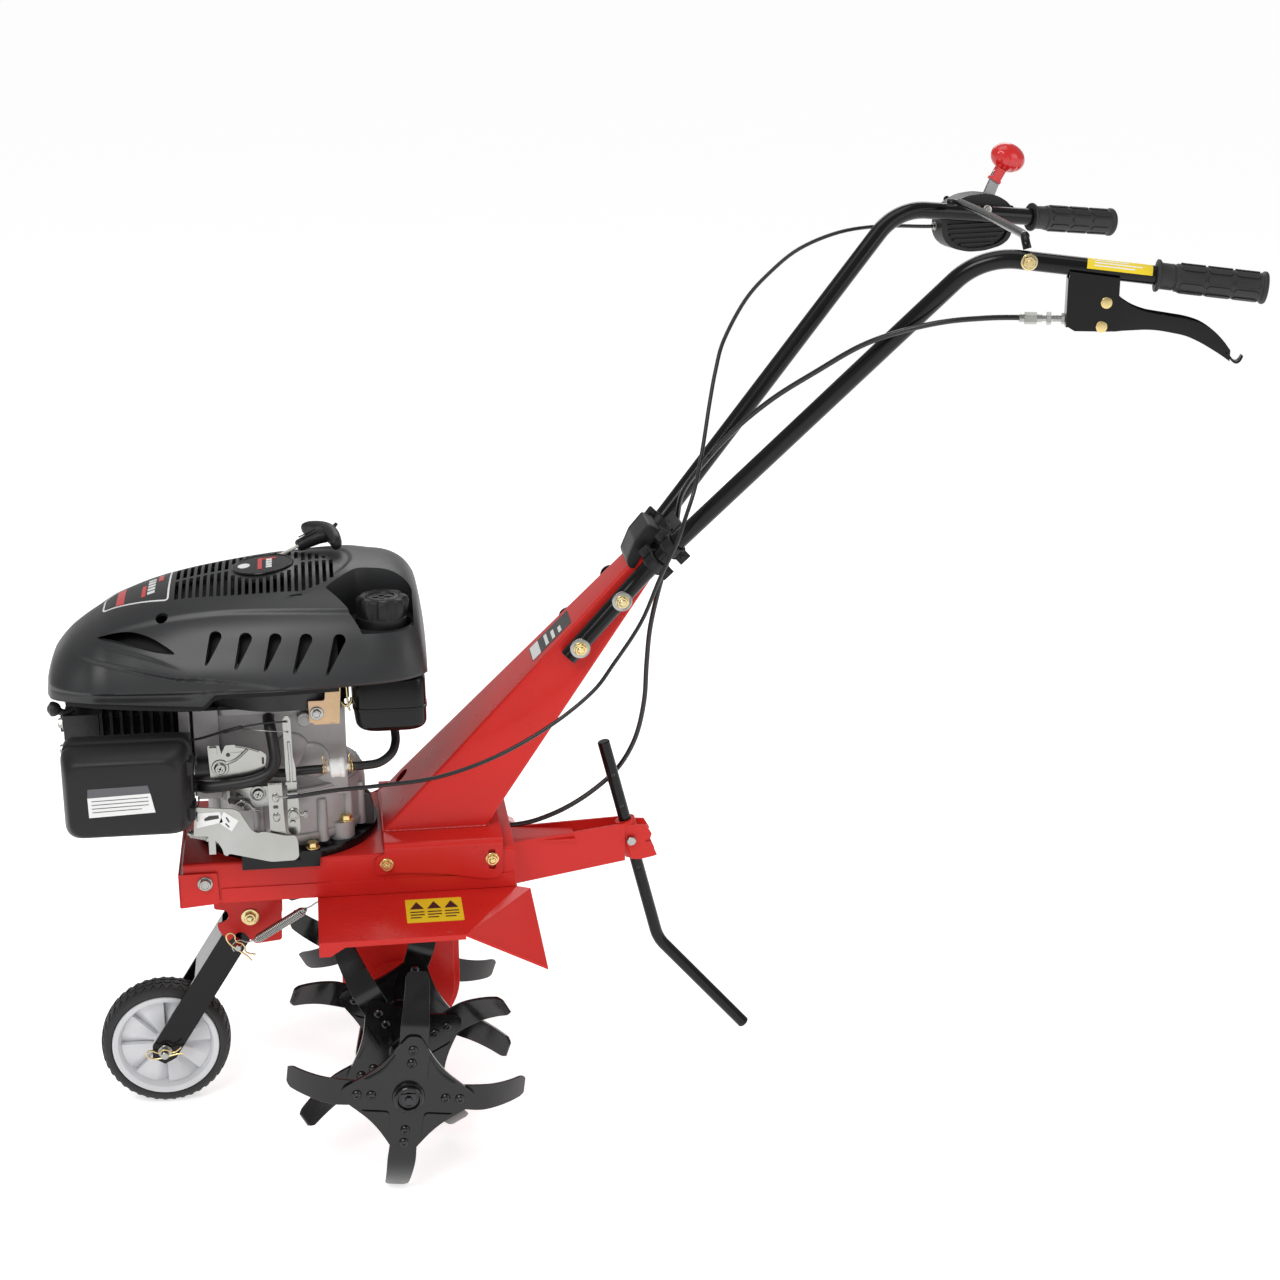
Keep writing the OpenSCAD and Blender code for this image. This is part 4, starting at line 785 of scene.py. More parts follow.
label = Shape().prism(rounded(on_front(181, 230, -24, 26), 3), -0.1, 0.3, front_wall)
build(label, "column_label", "column", "red_paint", material=PRINT)
light = Shape().prism(on_front(182, 192, -22.5, 24.5), 0.1, 0.5, front_wall)
for j in range(3):
    light.prism(on_front(199 + 8 * j, 202.5 + 8 * j, -18, 20 - 9 * j), 0.1, 0.5, front_wall)
build(light, "column_label_light", "column", "red_paint", material=WHITE_LABEL)

# ---------------------------------------------------------------- handlebar
(WALL_LOW_Z, _, _, WALL_LOW_Y), (WALL_HIGH_Z, _, _, WALL_HIGH_Y) = COLUMN[1:]
TUBE_R, TUBE_INNER_R = 11.0, 9.2
GAP = TUBE_R * 1.0076 + 0.15


def wall_y(z):
    """Half width of the column at a height."""
    return WALL_LOW_Y + (z - WALL_LOW_Z) * (WALL_HIGH_Y - WALL_LOW_Y) / (WALL_HIGH_Z - WALL_LOW_Z)


LOW = Vector((222, -wall_y(597) - GAP, 597))
KINK = Vector((318, -wall_y(698) - GAP, 698))
BEND = Vector((684, -198, 1105))
END = Vector((994, -265, 1072))
bar = [LOW] + corner(LOW, KINK, BEND, 120, 10) + corner(KINK, BEND, END, 85, 24) + [END]
near_bar = Shape().tube(bar, TUBE_R, 40, inner=TUBE_INNER_R)
build(near_bar, "bar_left", "column", "black_paint", ["handlebar_left"], angle=50)
build(Shape().join(near_bar, MIRROR), "bar_right", "column", "black_paint", ["handlebar_right"], angle=50)

# ---------------------------------------------------------------- grips
PADS_AROUND, PAD_LEN, PAD_GAP, PAD_CELLS, PAD_STRIPS = 9, 28.0, 2.6, 12, 4
grip_dir = (END - BEND).normalized()
grip = turned(END - 122 * grip_dir, (0, 1, 0.1), grip_dir)


def grip_pad(middle, z0):
    """Rings of a raised pad with rounded ends, from under the grip's surface to above it."""
    rings = []
    for i in range(PAD_CELLS + 1):
        t = i / PAD_CELLS
        to_end = min(t, 1 - t) * PAD_LEN
        half = 0.24 * math.sqrt(max(0.06, 1 - max(0, 1 - to_end / 4.2) ** 2))
        angles = [middle + half * (2 * q / PAD_STRIPS - 1) for q in range(PAD_STRIPS + 1)]
        rings.append([(r * math.cos(a), r * math.sin(a), z0 + PAD_LEN * t)
                      for r, line in ((15.8, angles), (17.5, angles[::-1])) for a in line])
    return rings


rubber = Shape()
rubber.lathe([(11.1, 0), (17.5, 0), (18.5, 0.8), (18.6, 2.6), (17.2, 4.4), (15.3, 5.6), (15.0, 7), (15.0, 17),
              (15.2, 19.4), (14.5, 20.2), (14.5, 21.4), (15.8, 22.2), (16, 24), (16.1, 60), (16.1, 116),
              (16.6, 118.6), (18.1, 120), (18.5, 121.4), (18.3, 123.6), (17, 125), (11, 125.4), (4, 125.4),
              (4, 122.3), (11.1, 122.3)], grip, 64, ring=True)
for j in range(PADS_AROUND):
    for k in range(3):
        rubber.loft(grip_pad(TURN * j / PADS_AROUND, 26.5 + k * (PAD_LEN + PAD_GAP)), grip)
build(rubber.mirrored(), "grips", "column", "grip_rubber", ["handle_grips"], bevel=0.45, angle=30)

LABEL_LENGTH = 74
sleeve = turned(END - (127 + LABEL_LENGTH) * grip_dir, (0, -1, 0.9), grip_dir)


def tube_film(lift, z0, z1, a0, a1):
    """A thin film on the near tube, between two places along it and two angles round it."""
    angles = [a0 + (a1 - a0) * k / 8 for k in range(9)]
    outline = [polar(TUBE_R + lift, a) for a in angles] + [polar(TUBE_R - 0.2, a) for a in angles[::-1]]
    return Shape().prism(outline, z0, z1, sleeve)


build(tube_film(0.35, 0, LABEL_LENGTH, -40, 40), "bar_label", "column", "black_paint", material=YELLOW_LABEL)
marks = Shape()
for z1, a0 in ((46, -22), (62, -4), (54, 14)):
    marks.join(tube_film(0.6, 8, z1, a0, a0 + 7))
build(marks, "bar_label_print", "column", "black_paint", material=WHITE_LABEL)

# ---------------------------------------------------------------- cross rod, bolts and tube clamp
rod_path = smooth([(733.5, -208.6, 1113), (732.2, -206.5, 1119), (732.6, -200, 1124), (734, -190, 1126.4),
                   (741, -100, 1124), (750, 0, 1120.5), (757, 90, 1117), (762, 172, 1113.6),
                   (761.5, 184, 1112.8), (757, 191, 1112), (749, 194, 1112)], 5)
build(Shape().tube(rod_path, 5, 20), "cross_rod", "column", "black_paint", ["crossbar"], angle=60)

HANDLE_TURN = math.degrees(math.atan2(END.y - BEND.y, END.x - BEND.x))
bolts, washers = Shape(), Shape()
for x, z in ((236, 612), (289, 668)):
    y = -(wall_y(z) + GAP + TUBE_R + 1.6)
    washer = [(4, 0), (12.4, 0), (12.7, 0.5), (12.4, 1.7), (11.4, 2), (4, 2)]
    washers.lathe(washer, facing(x, y, z), 40, ring=True)
    bolts.hex_head((x, y - 1.8, z), NEAR, 13, 5, washer=8.6, spin=0.4)
    bolts.lathe([(4.2, 0), (4.2, 2.5), (3.2, 3.2)], facing(x, y - 6.5, z), 20)
    washers.rod((x, y + 0.5, z), (x, 0, z), M8_SHANK)
side_nut = turned((733, -219.6, 1099.5), (1, 0, 0), (math.sin(math.radians(HANDLE_TURN)), -1, 0))
washers.lathe([(4, 0), (9.6, 0), (9.8, 0.4), (9.6, 1.2), (4, 1.2)], side_nut, 36, ring=True)
bolts.lathe([(9.4, 1.0), (9.4, 1.9), (7.6, 2.4), (7.4, 1.2)], side_nut, 36, ring=True)
bolts.prism(circle(7.2, 6, start=0.3), 1.2, 6.8, side_nut)
bolts.lathe([(4, 6), (4, 8.6), (3.4, 9.3)], side_nut, 20)
build(bolts.mirrored(), "handle_bolts_gold", "column", "gold_zinc", ["handle_bolts"], bevel=0.4)
build(washers.mirrored(), "handle_washers", "column", "zinc_steel", bevel=0.2)

kink_dir = (BEND - KINK).normalized()
over = Vector(UP) - kink_dir * kink_dir.z
clamp = Shape()
for along in (22, 52):
    c = KINK + along * kink_dir
    band = [(11.9, 0), (14.6, 0), (15.4, 1), (14.3, 2.2), (14.3, 13.8), (15.4, 15), (14.6, 16), (11.9, 16)]
    clamp.lathe(band, turned(c - 8 * kink_dir, (0, 1, 0), kink_dir), 40, ring=True)
    for lo, hi in ((13, 24), (-24, -13)):
        clamp.prism(rounded(rectangle(-8, 8, -3.2, 3.2), 2), lo, hi, turned(c, kink_dir, over))
    for s in (1, -1):
        screw = c + over.normalized() * 18.5 * s
        clamp.rod(screw - Vector((0, 5.2, 0)), screw + Vector((0, 5, 0)), 3.6, edge=0.5)
clamp = clamp.mirrored()
saddle = turned((350, 0, 736), (math.cos(math.radians(48)), 0, math.sin(math.radians(48))), (-1, 0, 0.9))
clamp.prism(rounded(rectangle(-26, 26, -31, 31), 6), -3, 3, saddle, holes=[circle(6.5, 16, (8, 8))])
for s in (-12, 0, 12):
    clamp.prism(rounded(rectangle(s - 1.6, s + 1.6, -26, 26), 1.4), 2.5, 5, saddle)
apron = rounded([(326, 757), (309, 737), (298.5, 712), (301, 703), (308, 701), (315, 714), (329, 733),
                 (341, 749)], 3)
for y0, y1 in ((-26, 26), (-31.4, -28), (28, 31.4)):
    clamp.plate(apron, y0, y1)
build(clamp, "tube_clamp", "column", "black_plastic", ["cable_clip"], bevel=0.8, angle=35)

# ---------------------------------------------------------------- clutch lever
lever_at = moved(822, -198 + (822 - 684) * math.tan(math.radians(HANDLE_TURN)), 1055) @ spun(HANDLE_TURN, "Z")


def channel(x, top, low):
    """The lever's cross-section at x: a channel that opens upwards, with sides between top and low."""
    half = 9 + 3.4 * math.sin(math.pi * min(1, max(0, (x - 20) / 118))) - 3 * max(0, (x - 118) / 26)
    wall = 2.0
    deep = max(low + 2.2, top - (top - low) * (0.93 - 0.5 * max(0.0, (x - 84) / 60)))
    outer = [(half, top), (half * 0.98, (top + low) / 2), (half * 0.9, low)]
    inner = [(half - wall, top - 0.2), (half * 0.98 - wall, (top + deep) / 2), (half * 0.9 - wall, deep)]
    near = [(x, -y, z) for y, z in outer] + [(x, y, z) for y, z in outer[::-1]]
    return near + [(x, y, z) for y, z in inner] + [(x, -y, z) for y, z in inner[::-1]]


spine = [(-12, 10, -22), (0, 12, -32), (10, 10, -34), (20, 2, -33), (32, -5, -32), (46, -10, -31),
         (60, -12.5, -31.5), (76, -15, -34), (92, -17.6, -37.5), (108, -22.5, -44.5), (122, -31, -52.5),
         (134, -41.5, -60), (144, -54, -67)]
lever = Shape().loft([channel(*p) for p in smooth(spine, 3)], lever_at)
tip = smooth([(140, 0, -57), (147, 0, -65.6), (152, 0, -68), (156, 0, -65), (158, 0, -60)], 4)
rings = []
for i, p in enumerate(tip):
    ahead = (tip[min(i + 1, len(tip) - 1)] - tip[max(i - 1, 0)]).normalized()
    normal = Vector((-ahead.z, 0, ahead.x)) * 1.3
    side = Vector((0, 8.4 - 0.25 * i, 0))
    rings.append([p + normal - side, p + normal + side, p - normal + side, p - normal - side])
lever.loft(rings, lever_at)
build(lever, "squeeze_lever", "clutch", "black_paint", ["clutch_lever"], bevel=0.7, angle=38)

# ---------------------------------------------------------------- adjuster and lever rivets
CABLE_Z = -21


def on_cable(shape, x0, x1, r, edge=0.0, n=24):
    return shape.rod(lever_at @ Vector((x0, 0, CABLE_Z)), lever_at @ Vector((x1, 0, CABLE_Z)), r, n=n,
                     edge=edge)


BACKWARDS = spun(-90, "Y")
adjuster = Shape()
on_cable(adjuster, -81, -44.5, 3.6, 0.4)
on_cable(adjuster, -96, -70, 4.6, 0.4)
for x0, x1, r in ((-90, -76, 7.2), (-65, -60, 7.6), (-48, -44.6, 6.6), (-41, -37, 6.6)):
    adjuster.prism(circle(r, 6), -x1, -x0, lever_at @ moved(0, 0, CABLE_Z) @ BACKWARDS)
for k in range(9):
    on_cable(adjuster, -57.5 + 1.5 * k, -56.8 + 1.5 * k, 4.1, n=20)
build(adjuster, "barrel_adjuster", "column", "zinc_steel", ["cable_adjuster"], bevel=0.4)
rivets = Shape()
for x, z in ((0, 0), (-4, -27.5)):
    for s in (1, -1):
        rivets.lathe([(6.6, 0), (6.8, 0.8), (6.4, 1.8), (4.5, 2.2)], lever_at @ facing(x, s * 13.4, z, s), 32)
    rivets.rod(lever_at @ Vector((x, -12, z)), lever_at @ Vector((x, 12, z)), 3.9)
build(rivets, "lever_rivets", "column", "gold_zinc", bevel=0.3)

# ---------------------------------------------------------------- throttle
throttle_at = moved(800, 252, 1079) @ spun(-HANDLE_TURN, "Z")
throttle_face = throttle_at @ UPRIGHT
case = [(-53, 6), (-49, 16), (-38, 27), (-20, 35.5), (4, 38), (26, 35), (44, 25), (53, 12), (53, -8),
        (48, -24), (36, -32), (12, -37.5), (-12, -38), (-34, -33), (-47, -24), (-53, -12)]
case = rounded(case, 8, 4)
inset = [(x * 0.86, -2 + (z + 2) * 0.86) for x, z in case]
window = rounded([(-46, 4), (47, 4), (46, -10), (41, -22), (30, -29), (10, -33), (-12, -33.5), (-30, -29),
                  (-42, -20)], 5)
housing = Shape().prism(case, -12.5, 12.5, throttle_face)
housing.prism(inset, -17, -12, throttle_face)
housing.prism(case, 12, 17, throttle_face, holes=[window[::-1]])
for z, half in ((-2, 44), (-8.5, 43), (-15, 40), (-21.5, 34), (-28, 24)):
    housing.prism(rounded(rectangle(-half, half, z - 1.1, z + 1.1), 1), 12, 16.2, throttle_face)
housing.prism(rounded([(-50, 17.5), (52, 17.5), (50, 20.5), (-47, 20.5)], 1.4), -18.2, 18.2, throttle_face)
for x, z in ((-34, -27), (32, -26), (-30, 28), (34, 26)):
    screw = [(4.4, 0), (4.4, 1.6), (3.6, 2.2), (1.6, 2.2), (1.4, 0.9)]
    housing.lathe(screw, throttle_at @ facing(x, 16.5, z, 1), 20)
build(housing, "throttle_case", "column", "black_plastic", ["throttle_housing"], bevel=1.6, segments=3,
      angle=35)
fittings = Shape()
fittings.rod(throttle_at @ Vector((-59, 0, -4)), throttle_at @ Vector((-50, 0, -4)), 4.2, edge=0.4)
fittings.prism(circle(6, 6), 49.5, 55.5, throttle_at @ moved(0, 0, -4) @ BACKWARDS)
fittings.lathe([(6, 0), (6, 3), (5, 3.6), (2.4, 3.6), (2.2, 1.6)], facing(808.3, 213, 1099.2), 24)
build(fittings, "throttle_fittings", "column", "zinc_steel", bevel=0.3)

outline = [polar(9, 154 + 18 * k, (10, 4)) for k in range(11)]
outline += [polar(7.4, -26 + 18 * k, (34, 59)) for k in range(11)]
arm = Shape().prism(outline, -2, 2, throttle_face)
arm.rod(throttle_at @ Vector((10, -12, 4)), throttle_at @ Vector((10, 12, 4)), 3)
build(arm, "throttle_blade", "throttle", "chrome", ["throttle_lever"], bevel=0.5, material=LEVER_STEEL)

KNOB_RINGS, KNOB_AROUND = 44, 72


def knob_point(polar_angle, around):
    """A point on the knob's egg, with grooves pressed in across its lower half."""
    d = Vector((-math.cos(polar_angle), math.sin(polar_angle) * math.cos(around),
                math.sin(polar_angle) * math.sin(around)))
    if d.z < 0.12 < abs(d.y):
        fade = min(1, (0.12 - d.z) / 0.25) * min(1, (abs(d.y) - 0.12) / 0.15)
        groove = math.cos(TURN * (d.x * 2.6 + 0.9 * d.z))
        front = 1 if d.x < 0.55 else max(0, (0.75 - d.x) / 0.2)
        d *= 1 - 0.055 * max(0.0, groove) ** 0.5 * fade * front
    return (24.5 * d.x, 18.5 * d.y, 18.5 * d.z)


rings = []
for i in range(KNOB_RINGS + 1):
    polar_angle = math.pi * (i + 0.02) / (KNOB_RINGS + 0.04)
    rings.append([knob_point(polar_angle, TURN * j / KNOB_AROUND) for j in range(KNOB_AROUND)])
knob = Shape().loft(rings, throttle_at @ moved(49, 0, 81) @ spun(24, "Y"))
neck = throttle_at @ turned((29.5, 0, 51), (0.87, 0, -0.5), (10, 0, 16))
knob.prism(rounded(rectangle(-8, 8, -6, 6), 1.5), 0, 4, neck)
knob.prism(rounded(rectangle(-6.8, 6.8, -5, 5), 1.2), 3, 22, neck)
build(knob, "throttle_ball", "throttle", "red_plastic", ["throttle_knob"], bevel=0.4, angle=50)

# ---------------------------------------------------------------- cables
THROTTLE_ROUTE = [(741.8, 239.3, 1075), (729, 236.6, 1075.5), (668, 222, 1079), (605, 184, 1078),
                  (546, 151, 1063), (504, 130, 1037), (469, 110, 1006), (437, 80, 962), (422, 52, 930),
                  (407, 8, 897), (391, -40, 854), (376, -76, 814), (362, -88, 778), (351, -92, 748),
                  (331, -92, 706), (308, -92, 651), (274, -96, 601), (246, -100, 566), (193, -106, 527),
                  (124, -114, 493), (53, -125, 475), (-17, -140, 474), (-70, -150, 475), (-112, -154.5, 472),
                  (-128.2, -154.5, 471)]
CLUTCH_ROUTE = [(736.6, -209.4, 1034), (722, -206, 1034.5), (690, -203, 1034), (645, -197, 1030),
                (598, -184, 1018), (554, -164, 998), (508, -138, 964), (464, -104, 926), (424, -72, 882),
                (392, -40, 834), (372, -10, 792), (368, 8, 756), (366, 12, 726), (354, 14, 690),
                (343, 14, 650), (334, 14, 606), (330, 15, 560), (327, 16, 510), (316, 18, 460),
                (294, 19, 420), (262, 16, 392), (226, 10, 372), (190, 4, 360), (162, 0, 356), (137, 0, 356)]
for name, node, route, r, held_below, held_above in (
        ("throttle_wire", "throttle_cable", THROTTLE_ROUTE, 2.5, (-17, -140, 474), (274, -96, 601)),
        ("clutch_wire", "clutch_cable", CLUTCH_ROUTE, 3.2, (190, 4, 360), (343, 14, 650))):
    loose_piece(Shape().tube(smooth(route, 6), r, 14), name, "cable_sheath", [node])

# ---------------------------------------------------------------- drag stake
STAKE_BEND, STAKE_BEND_R, STAKE_BEND_START, STAKE_LOWER = 27, 55, 276, 164
STAKE_R, STAKE_END_R = 8, 6.9
way = [Vector((0, 0, z)) for z in (0, 1.2, 20, 140, STAKE_BEND_START)]
for k in range(1, 13):
    x, z = polar(STAKE_BEND_R, STAKE_BEND * k / 12)
    way.append(Vector((x - STAKE_BEND_R, 0, STAKE_BEND_START + z)))
x, z = polar(STAKE_LOWER, 90 + STAKE_BEND)
end = way[-1] + Vector((x, 0, z))
way += [end - (end - way[-1]).normalized() * 1.2, end]
bar = Shape().tube([stake_at @ p for p in way], [STAKE_END_R] + [STAKE_R] * (len(way) - 2) + [STAKE_END_R],
                   36)
holes = Shape()
for z in (47, 92, 182, 137):
    holes.rod(stake_at @ Vector((0, -20, z)), stake_at @ Vector((0, 20, z)), 3.1)
build(bar.minus(holes, "EXACT"), "stake", "stake", "black_paint", ["drag_stake"], angle=40)


# ---------------------------------------------------------------- engine cowl
def curve(points, x):
    """Smooth height of a line given by (x, value) points, flat beyond its ends."""
    if x <= points[0][0]:
        return points[0][1]
    for i in range(len(points) - 1):
        (x0, v0), (x1, v1) = points[i], points[i + 1]
        if x <= x1:
            before = points[i - 1] if i else points[0]
            after = points[i + 2] if i + 2 < len(points) else points[-1]
            m0 = (v1 - before[1]) / max(1e-6, x1 - before[0])
            m1 = (after[1] - v0) / max(1e-6, after[0] - x0)
            h = x1 - x0
            t = (x - x0) / h
            return ((2 * t ** 3 - 3 * t ** 2 + 1) * v0 + (t ** 3 - 2 * t ** 2 + t) * h * m0
                    + (3 * t ** 2 - 2 * t ** 3) * v1 + (t ** 3 - t ** 2) * h * m1)
    return points[-1][1]


def step(a, b, x):
    """0 at a and before it, 1 at b and after it, smooth between; a may be above b."""
    t = min(1.0, max(0.0, (x - a) / (b - a)))
    return t * t * (3 - 2 * t)


COWL_X = (-408, 46)
HALF = [(-408, 62), (-400, 88), (-376, 106), (-330, 124), (-260, 140), (-180, 151), (-100, 157), (-20, 157),
        (14, 151), (36, 140), (46, 128)]
TOP = [(-408, 600), (-400, 619), (-376, 645), (-330, 673), (-260, 697), (-180, 711.5), (-100, 720),
       (-20, 722), (16, 714), (38, 690), (46, 654)]
ROOT = [(-408, 566), (-260, 568), (-100, 584), (-20, 590), (46, 590)]
FOOT = [(-408, 584.2), (-222, 584.6), (-219, 585.5), (-207, 597.5), (-204, 599), (-140, 602), (-42, 606.5),
        (46, 610.5)]
LEDGE = [(-340, 655), (-296, 668), (-252, 678), (-209, 684), (-166, 687), (-109, 688), (-55, 687.5),
         (46, 687)]
SWOOSH = [(-400, 637), (-339, 633), (-310, 629), (-281, 624), (-250, 619), (-219, 618), (-191, 616),
          (-158, 612), (-119, 605.6), (46, 598)]
FOLD = [(-408, 648), (-339, 648), (-310, 645), (-281, 640), (-250, 631), (-219, 621), (-180, 612), (46, 590)]
BUMPER = [(-408, 597), (-340, 597), (-200, 603.5), (-140, 605), (-42, 608), (30, 611.5), (46, 612)]
NEAR_EDGE = [(-250, -62), (-241, -64), (-213, -70.5), (-187, -76.5), (-162, -81), (-135, -84.5),
             (-108, -85.5), (-91, -84.5), (-73, -77.5), (-64, -70)]
FAR_EDGE = [(-250, 40), (-200, 46), (-150, 46), (-110, 41.5), (-91, 27), (-74, 8), (-64, -7)]
BADGE = (-145, -10)


SQUARENESS = 0.77
COWL_WALL = 5.5
STEEP = 0.82                # share of the side's height above which its rings need fewer points


def cowl_base(x, a, inset=0.0):
    """The plain cross-section: a round-cornered arch over the root line, as Y and Z."""
    w, top, root = curve(HALF, x) - inset, curve(TOP, x) - inset, curve(ROOT, x)
    q = abs(math.sin(a)) ** SQUARENESS
    c = math.copysign(abs(math.cos(a)) ** SQUARENESS, math.cos(a))
    return -w * c * (1 - 0.1 * q), root + (top - root) * q


def cowl_skin(x, a, wall=0.0):
    """The outer skin, or the one a wall inside it: the base, pushed out and in by ledges, folds and trim."""
    y, z = cowl_base(x, a)
    (y0, z0), (y1, z1) = cowl_base(x, a - 0.01), cowl_base(x, a + 0.01)
    n = Vector((-(z1 - z0), y1 - y0)).normalized()
    ledge, swoosh, fold, bumper = (z - curve(line, x) for line in (LEDGE, SWOOSH, FOLD, BUMPER))
    out = -wall + 3.0 * step(-2.2, 2.2, ledge) * step(-352, -322, x) * (1 - step(-46, -10, x))
    belly = swoosh / max(1.0, swoosh - ledge)
    if 0 < belly < 1:
        out -= 3.0 * math.sin(math.pi * belly) ** 2 * step(-290, -220, x) * (1 - step(-40, 20, x))
    out -= 4.2 * step(1, -3, swoosh) * step(-384, -352, x) * (1 - step(-200, -80, x))
    out -= 3.0 * step(1, -1.6, fold) * step(-352, -330, x) * (1 - step(-300, -235, x))
    out -= 4.0 * step(1, -2.2, bumper) * (1 - 0.5 * step(-60, 30, x))
    out -= 4.0 * step(-2, -13, bumper) * (1 - step(-250, -205, x))
    if z > 684:
        round_grille = math.hypot((x + 146) / 106, (y + 10) / 86)
        out -= 1.9 * step(1.03, 0.985, round_grille) * step(-130, -100, x)
    end = min(x - COWL_X[0], COWL_X[1] - x)
    if end < 5 and not wall:
        out -= 5 - math.sqrt(max(0.0, 25 - (5 - end) ** 2))
    return y - n[0] * out if y * n[0] < 0 else y + n[0] * out, z + abs(n[1]) * out


def cowl_rings(skin, stations, fine, coarse, inset=0.0):
    """Arches from foot to foot, with more points up the sides than over the top."""
    rings = []
    for x in stations:
        top, root, foot = curve(TOP, x) - inset, curve(ROOT, x), curve(FOOT, x) - (10 if inset else 0)
        low = min(0.6, max(0.0, (foot - root) / (top - root)))
        shares = [low + (STEEP - low) * k / fine for k in range(fine)]
        angles = [math.asin(min(1, share) ** (1 / SQUARENESS)) for share in shares]
        a1 = math.asin(STEEP ** (1 / SQUARENESS))
        angles += [a1 + (math.pi / 2 - a1) * k / coarse for k in range(coarse)]
        arch = angles + [math.pi / 2] + [math.pi - a for a in reversed(angles)]
        rings.append([(x, *skin(x, a)) for a in arch])
    return rings


END_STEPS = (0, 0.3, 0.8, 1.6, 2.7, 4, 5.5)
stations = [COWL_X[0] + d for d in END_STEPS] + [-401 + 2.3 * i for i in range(193)]
stations += [COWL_X[1] - d for d in END_STEPS[::-1]]
shell = Shape().loft(cowl_rings(cowl_skin, sorted(stations), 64, 30))
stations = [-401 + 4.9 * i for i in range(91)]
cavity = Shape().loft(cowl_rings(lambda x, a: cowl_skin(x, a, COWL_WALL), stations, 40, 16, COWL_WALL))
recess = [(-71.5, -87), (-46, -62), (-33, -49), (-20, -44), (4, -43), (22, -47), (32, -55), (31.5, -112),
          (20, -190), (-10, -190), (-30.5, -133)]
recess = rounded(recess, [3, 8, 5, 8, 8, 8, 5, 3, 3, 3, 3], 6)
around_recess = [(-76, -88), (-50, -60), (-35, -45.5), (-20, -40.5), (5, -39.5), (24, -43.5), (36, -52),
                 (36, -200), (-12, -200), (-35, -136)]
shell = shell.minus(Shape().prism(recess, 664, 760))
shell = shell.minus(cavity.minus(Shape().prism(around_recess, 660.5, 760)))

# Grille slots round the badge, and small holes in the top
SLOTS, SLOT_PITCH, SLOT_HALF, BADGE_GAP = 23, 8.4, 2.3, 42
cuts = Shape()
for i in range(SLOTS):
    x = -248 + SLOT_PITCH * i
    dx = x - BADGE[0]
    gap = max(3.6, math.sqrt(max(0, BADGE_GAP ** 2 - dx * dx)))
    for lo, hi in ((curve(NEAR_EDGE, x), BADGE[1] - gap), (BADGE[1] + gap, curve(FAR_EDGE, x))):
        if hi - lo > 6:
            cuts.prism(rounded(rectangle(x - SLOT_HALF, x + SLOT_HALF, lo, hi), 1.1, 3), 664, 760)
cuts.prism(rounded(rectangle(-113, -90, 49, 60), 4, 4), 668, 760)
cuts.prism(rounded([(-115, -93.5), (-98, -95), (-100, -91.5), (-107, -90), (-113, -91)], 0.8, 3), 664, 760)
cuts.prism(circle(35, 48, (-5, -88)), 650, 700)
shell = shell.minus(cuts)

# Tear-shaped dents in the sides, each with a slot through the wall
TEARS = (((-199, -111, 666.5), (-214, -131, 632.6)), ((-164, -119, 666), (-179.5, -139, 629.7)),
         ((-129, -124, 666), (-146, -143.5, 626)), ((-93, -128, 665.6), (-112, -148, 623.5)),
         ((-54, -130.5, 664.6), (-74, -150.5, 620)))
dents, slots = Shape(), Shape()
for a, b in TEARS:
    a, b = Vector(a), Vector(b)
    a, b = a.lerp(b, 0.16) + Vector((0, 1.5, 0)), b.lerp(a, 0.05) + Vector((0, 0.6, -0.4))
    line = [a.lerp(b, t / 10) for t in range(11)]
    d = (a - b).normalized()
    path = [a + d * 7.4, a + d * 6.2, a + d * 3.6] + line + [b - d * 2, b - d * 2.9]
    dents.tube(path, [2.2, 5, 7.3] + [8.1 - 0.58 * k for k in range(11)] + [1.6, 0.5], 20)
    deep = Vector((0, 7.5, -3))
    path = [a + deep + d * 4.6, a + deep + d * 3.4] + [p + deep * (1 - 0.07 * k) for k, p in enumerate(line)]
    slots.tube(path, [2, 4.2] + [5.2 - 0.42 * k for k in range(11)], 16)
shell = shell.minus(dents.mirrored()).minus(slots.mirrored())

# Eye-shaped openings near the nose, and a screw well above each
eye = [(-342, 654), (-322, 660.5), (-301, 663.5), (-281, 661), (-264, 654), (-250, 644.5), (-267, 645),
       (-281, 647), (-301, 650), (-321, 652), (-339, 652.5)]
eye = [(p.x, p.y) for p in smooth([(*q, 0) for q in eye + eye[:1]], 5)[:-1]]
cuts = Shape()
for s in (1, -1):
    cuts.prism(eye, *sorted((44 * s, 150 * s)), UPRIGHT)
    well = turned((-266, -s * 72, 664), (1, 0, 0), (0.05, -s * 0.62, 0.78))
    cuts.lathe([(6.4, 0), (6.6, 15), (7.6, 22), (9, 40)], well, 28)
shell = shell.minus(cuts)
build(shell, "cowl_shell", "chassis", "cowl_plastic", ["engine_cowl", "starter_cover"], angle=28)


def on_top(x, y):
    """Height of the cowl's outer skin over a plan point."""
    lo, hi = 0.02, math.pi - 0.02
    for _ in range(30):
        mid = (lo + hi) / 2
        if cowl_skin(x, mid)[0] < y:
            lo = mid
        else:
            hi = mid
    return cowl_skin(x, lo)[1]


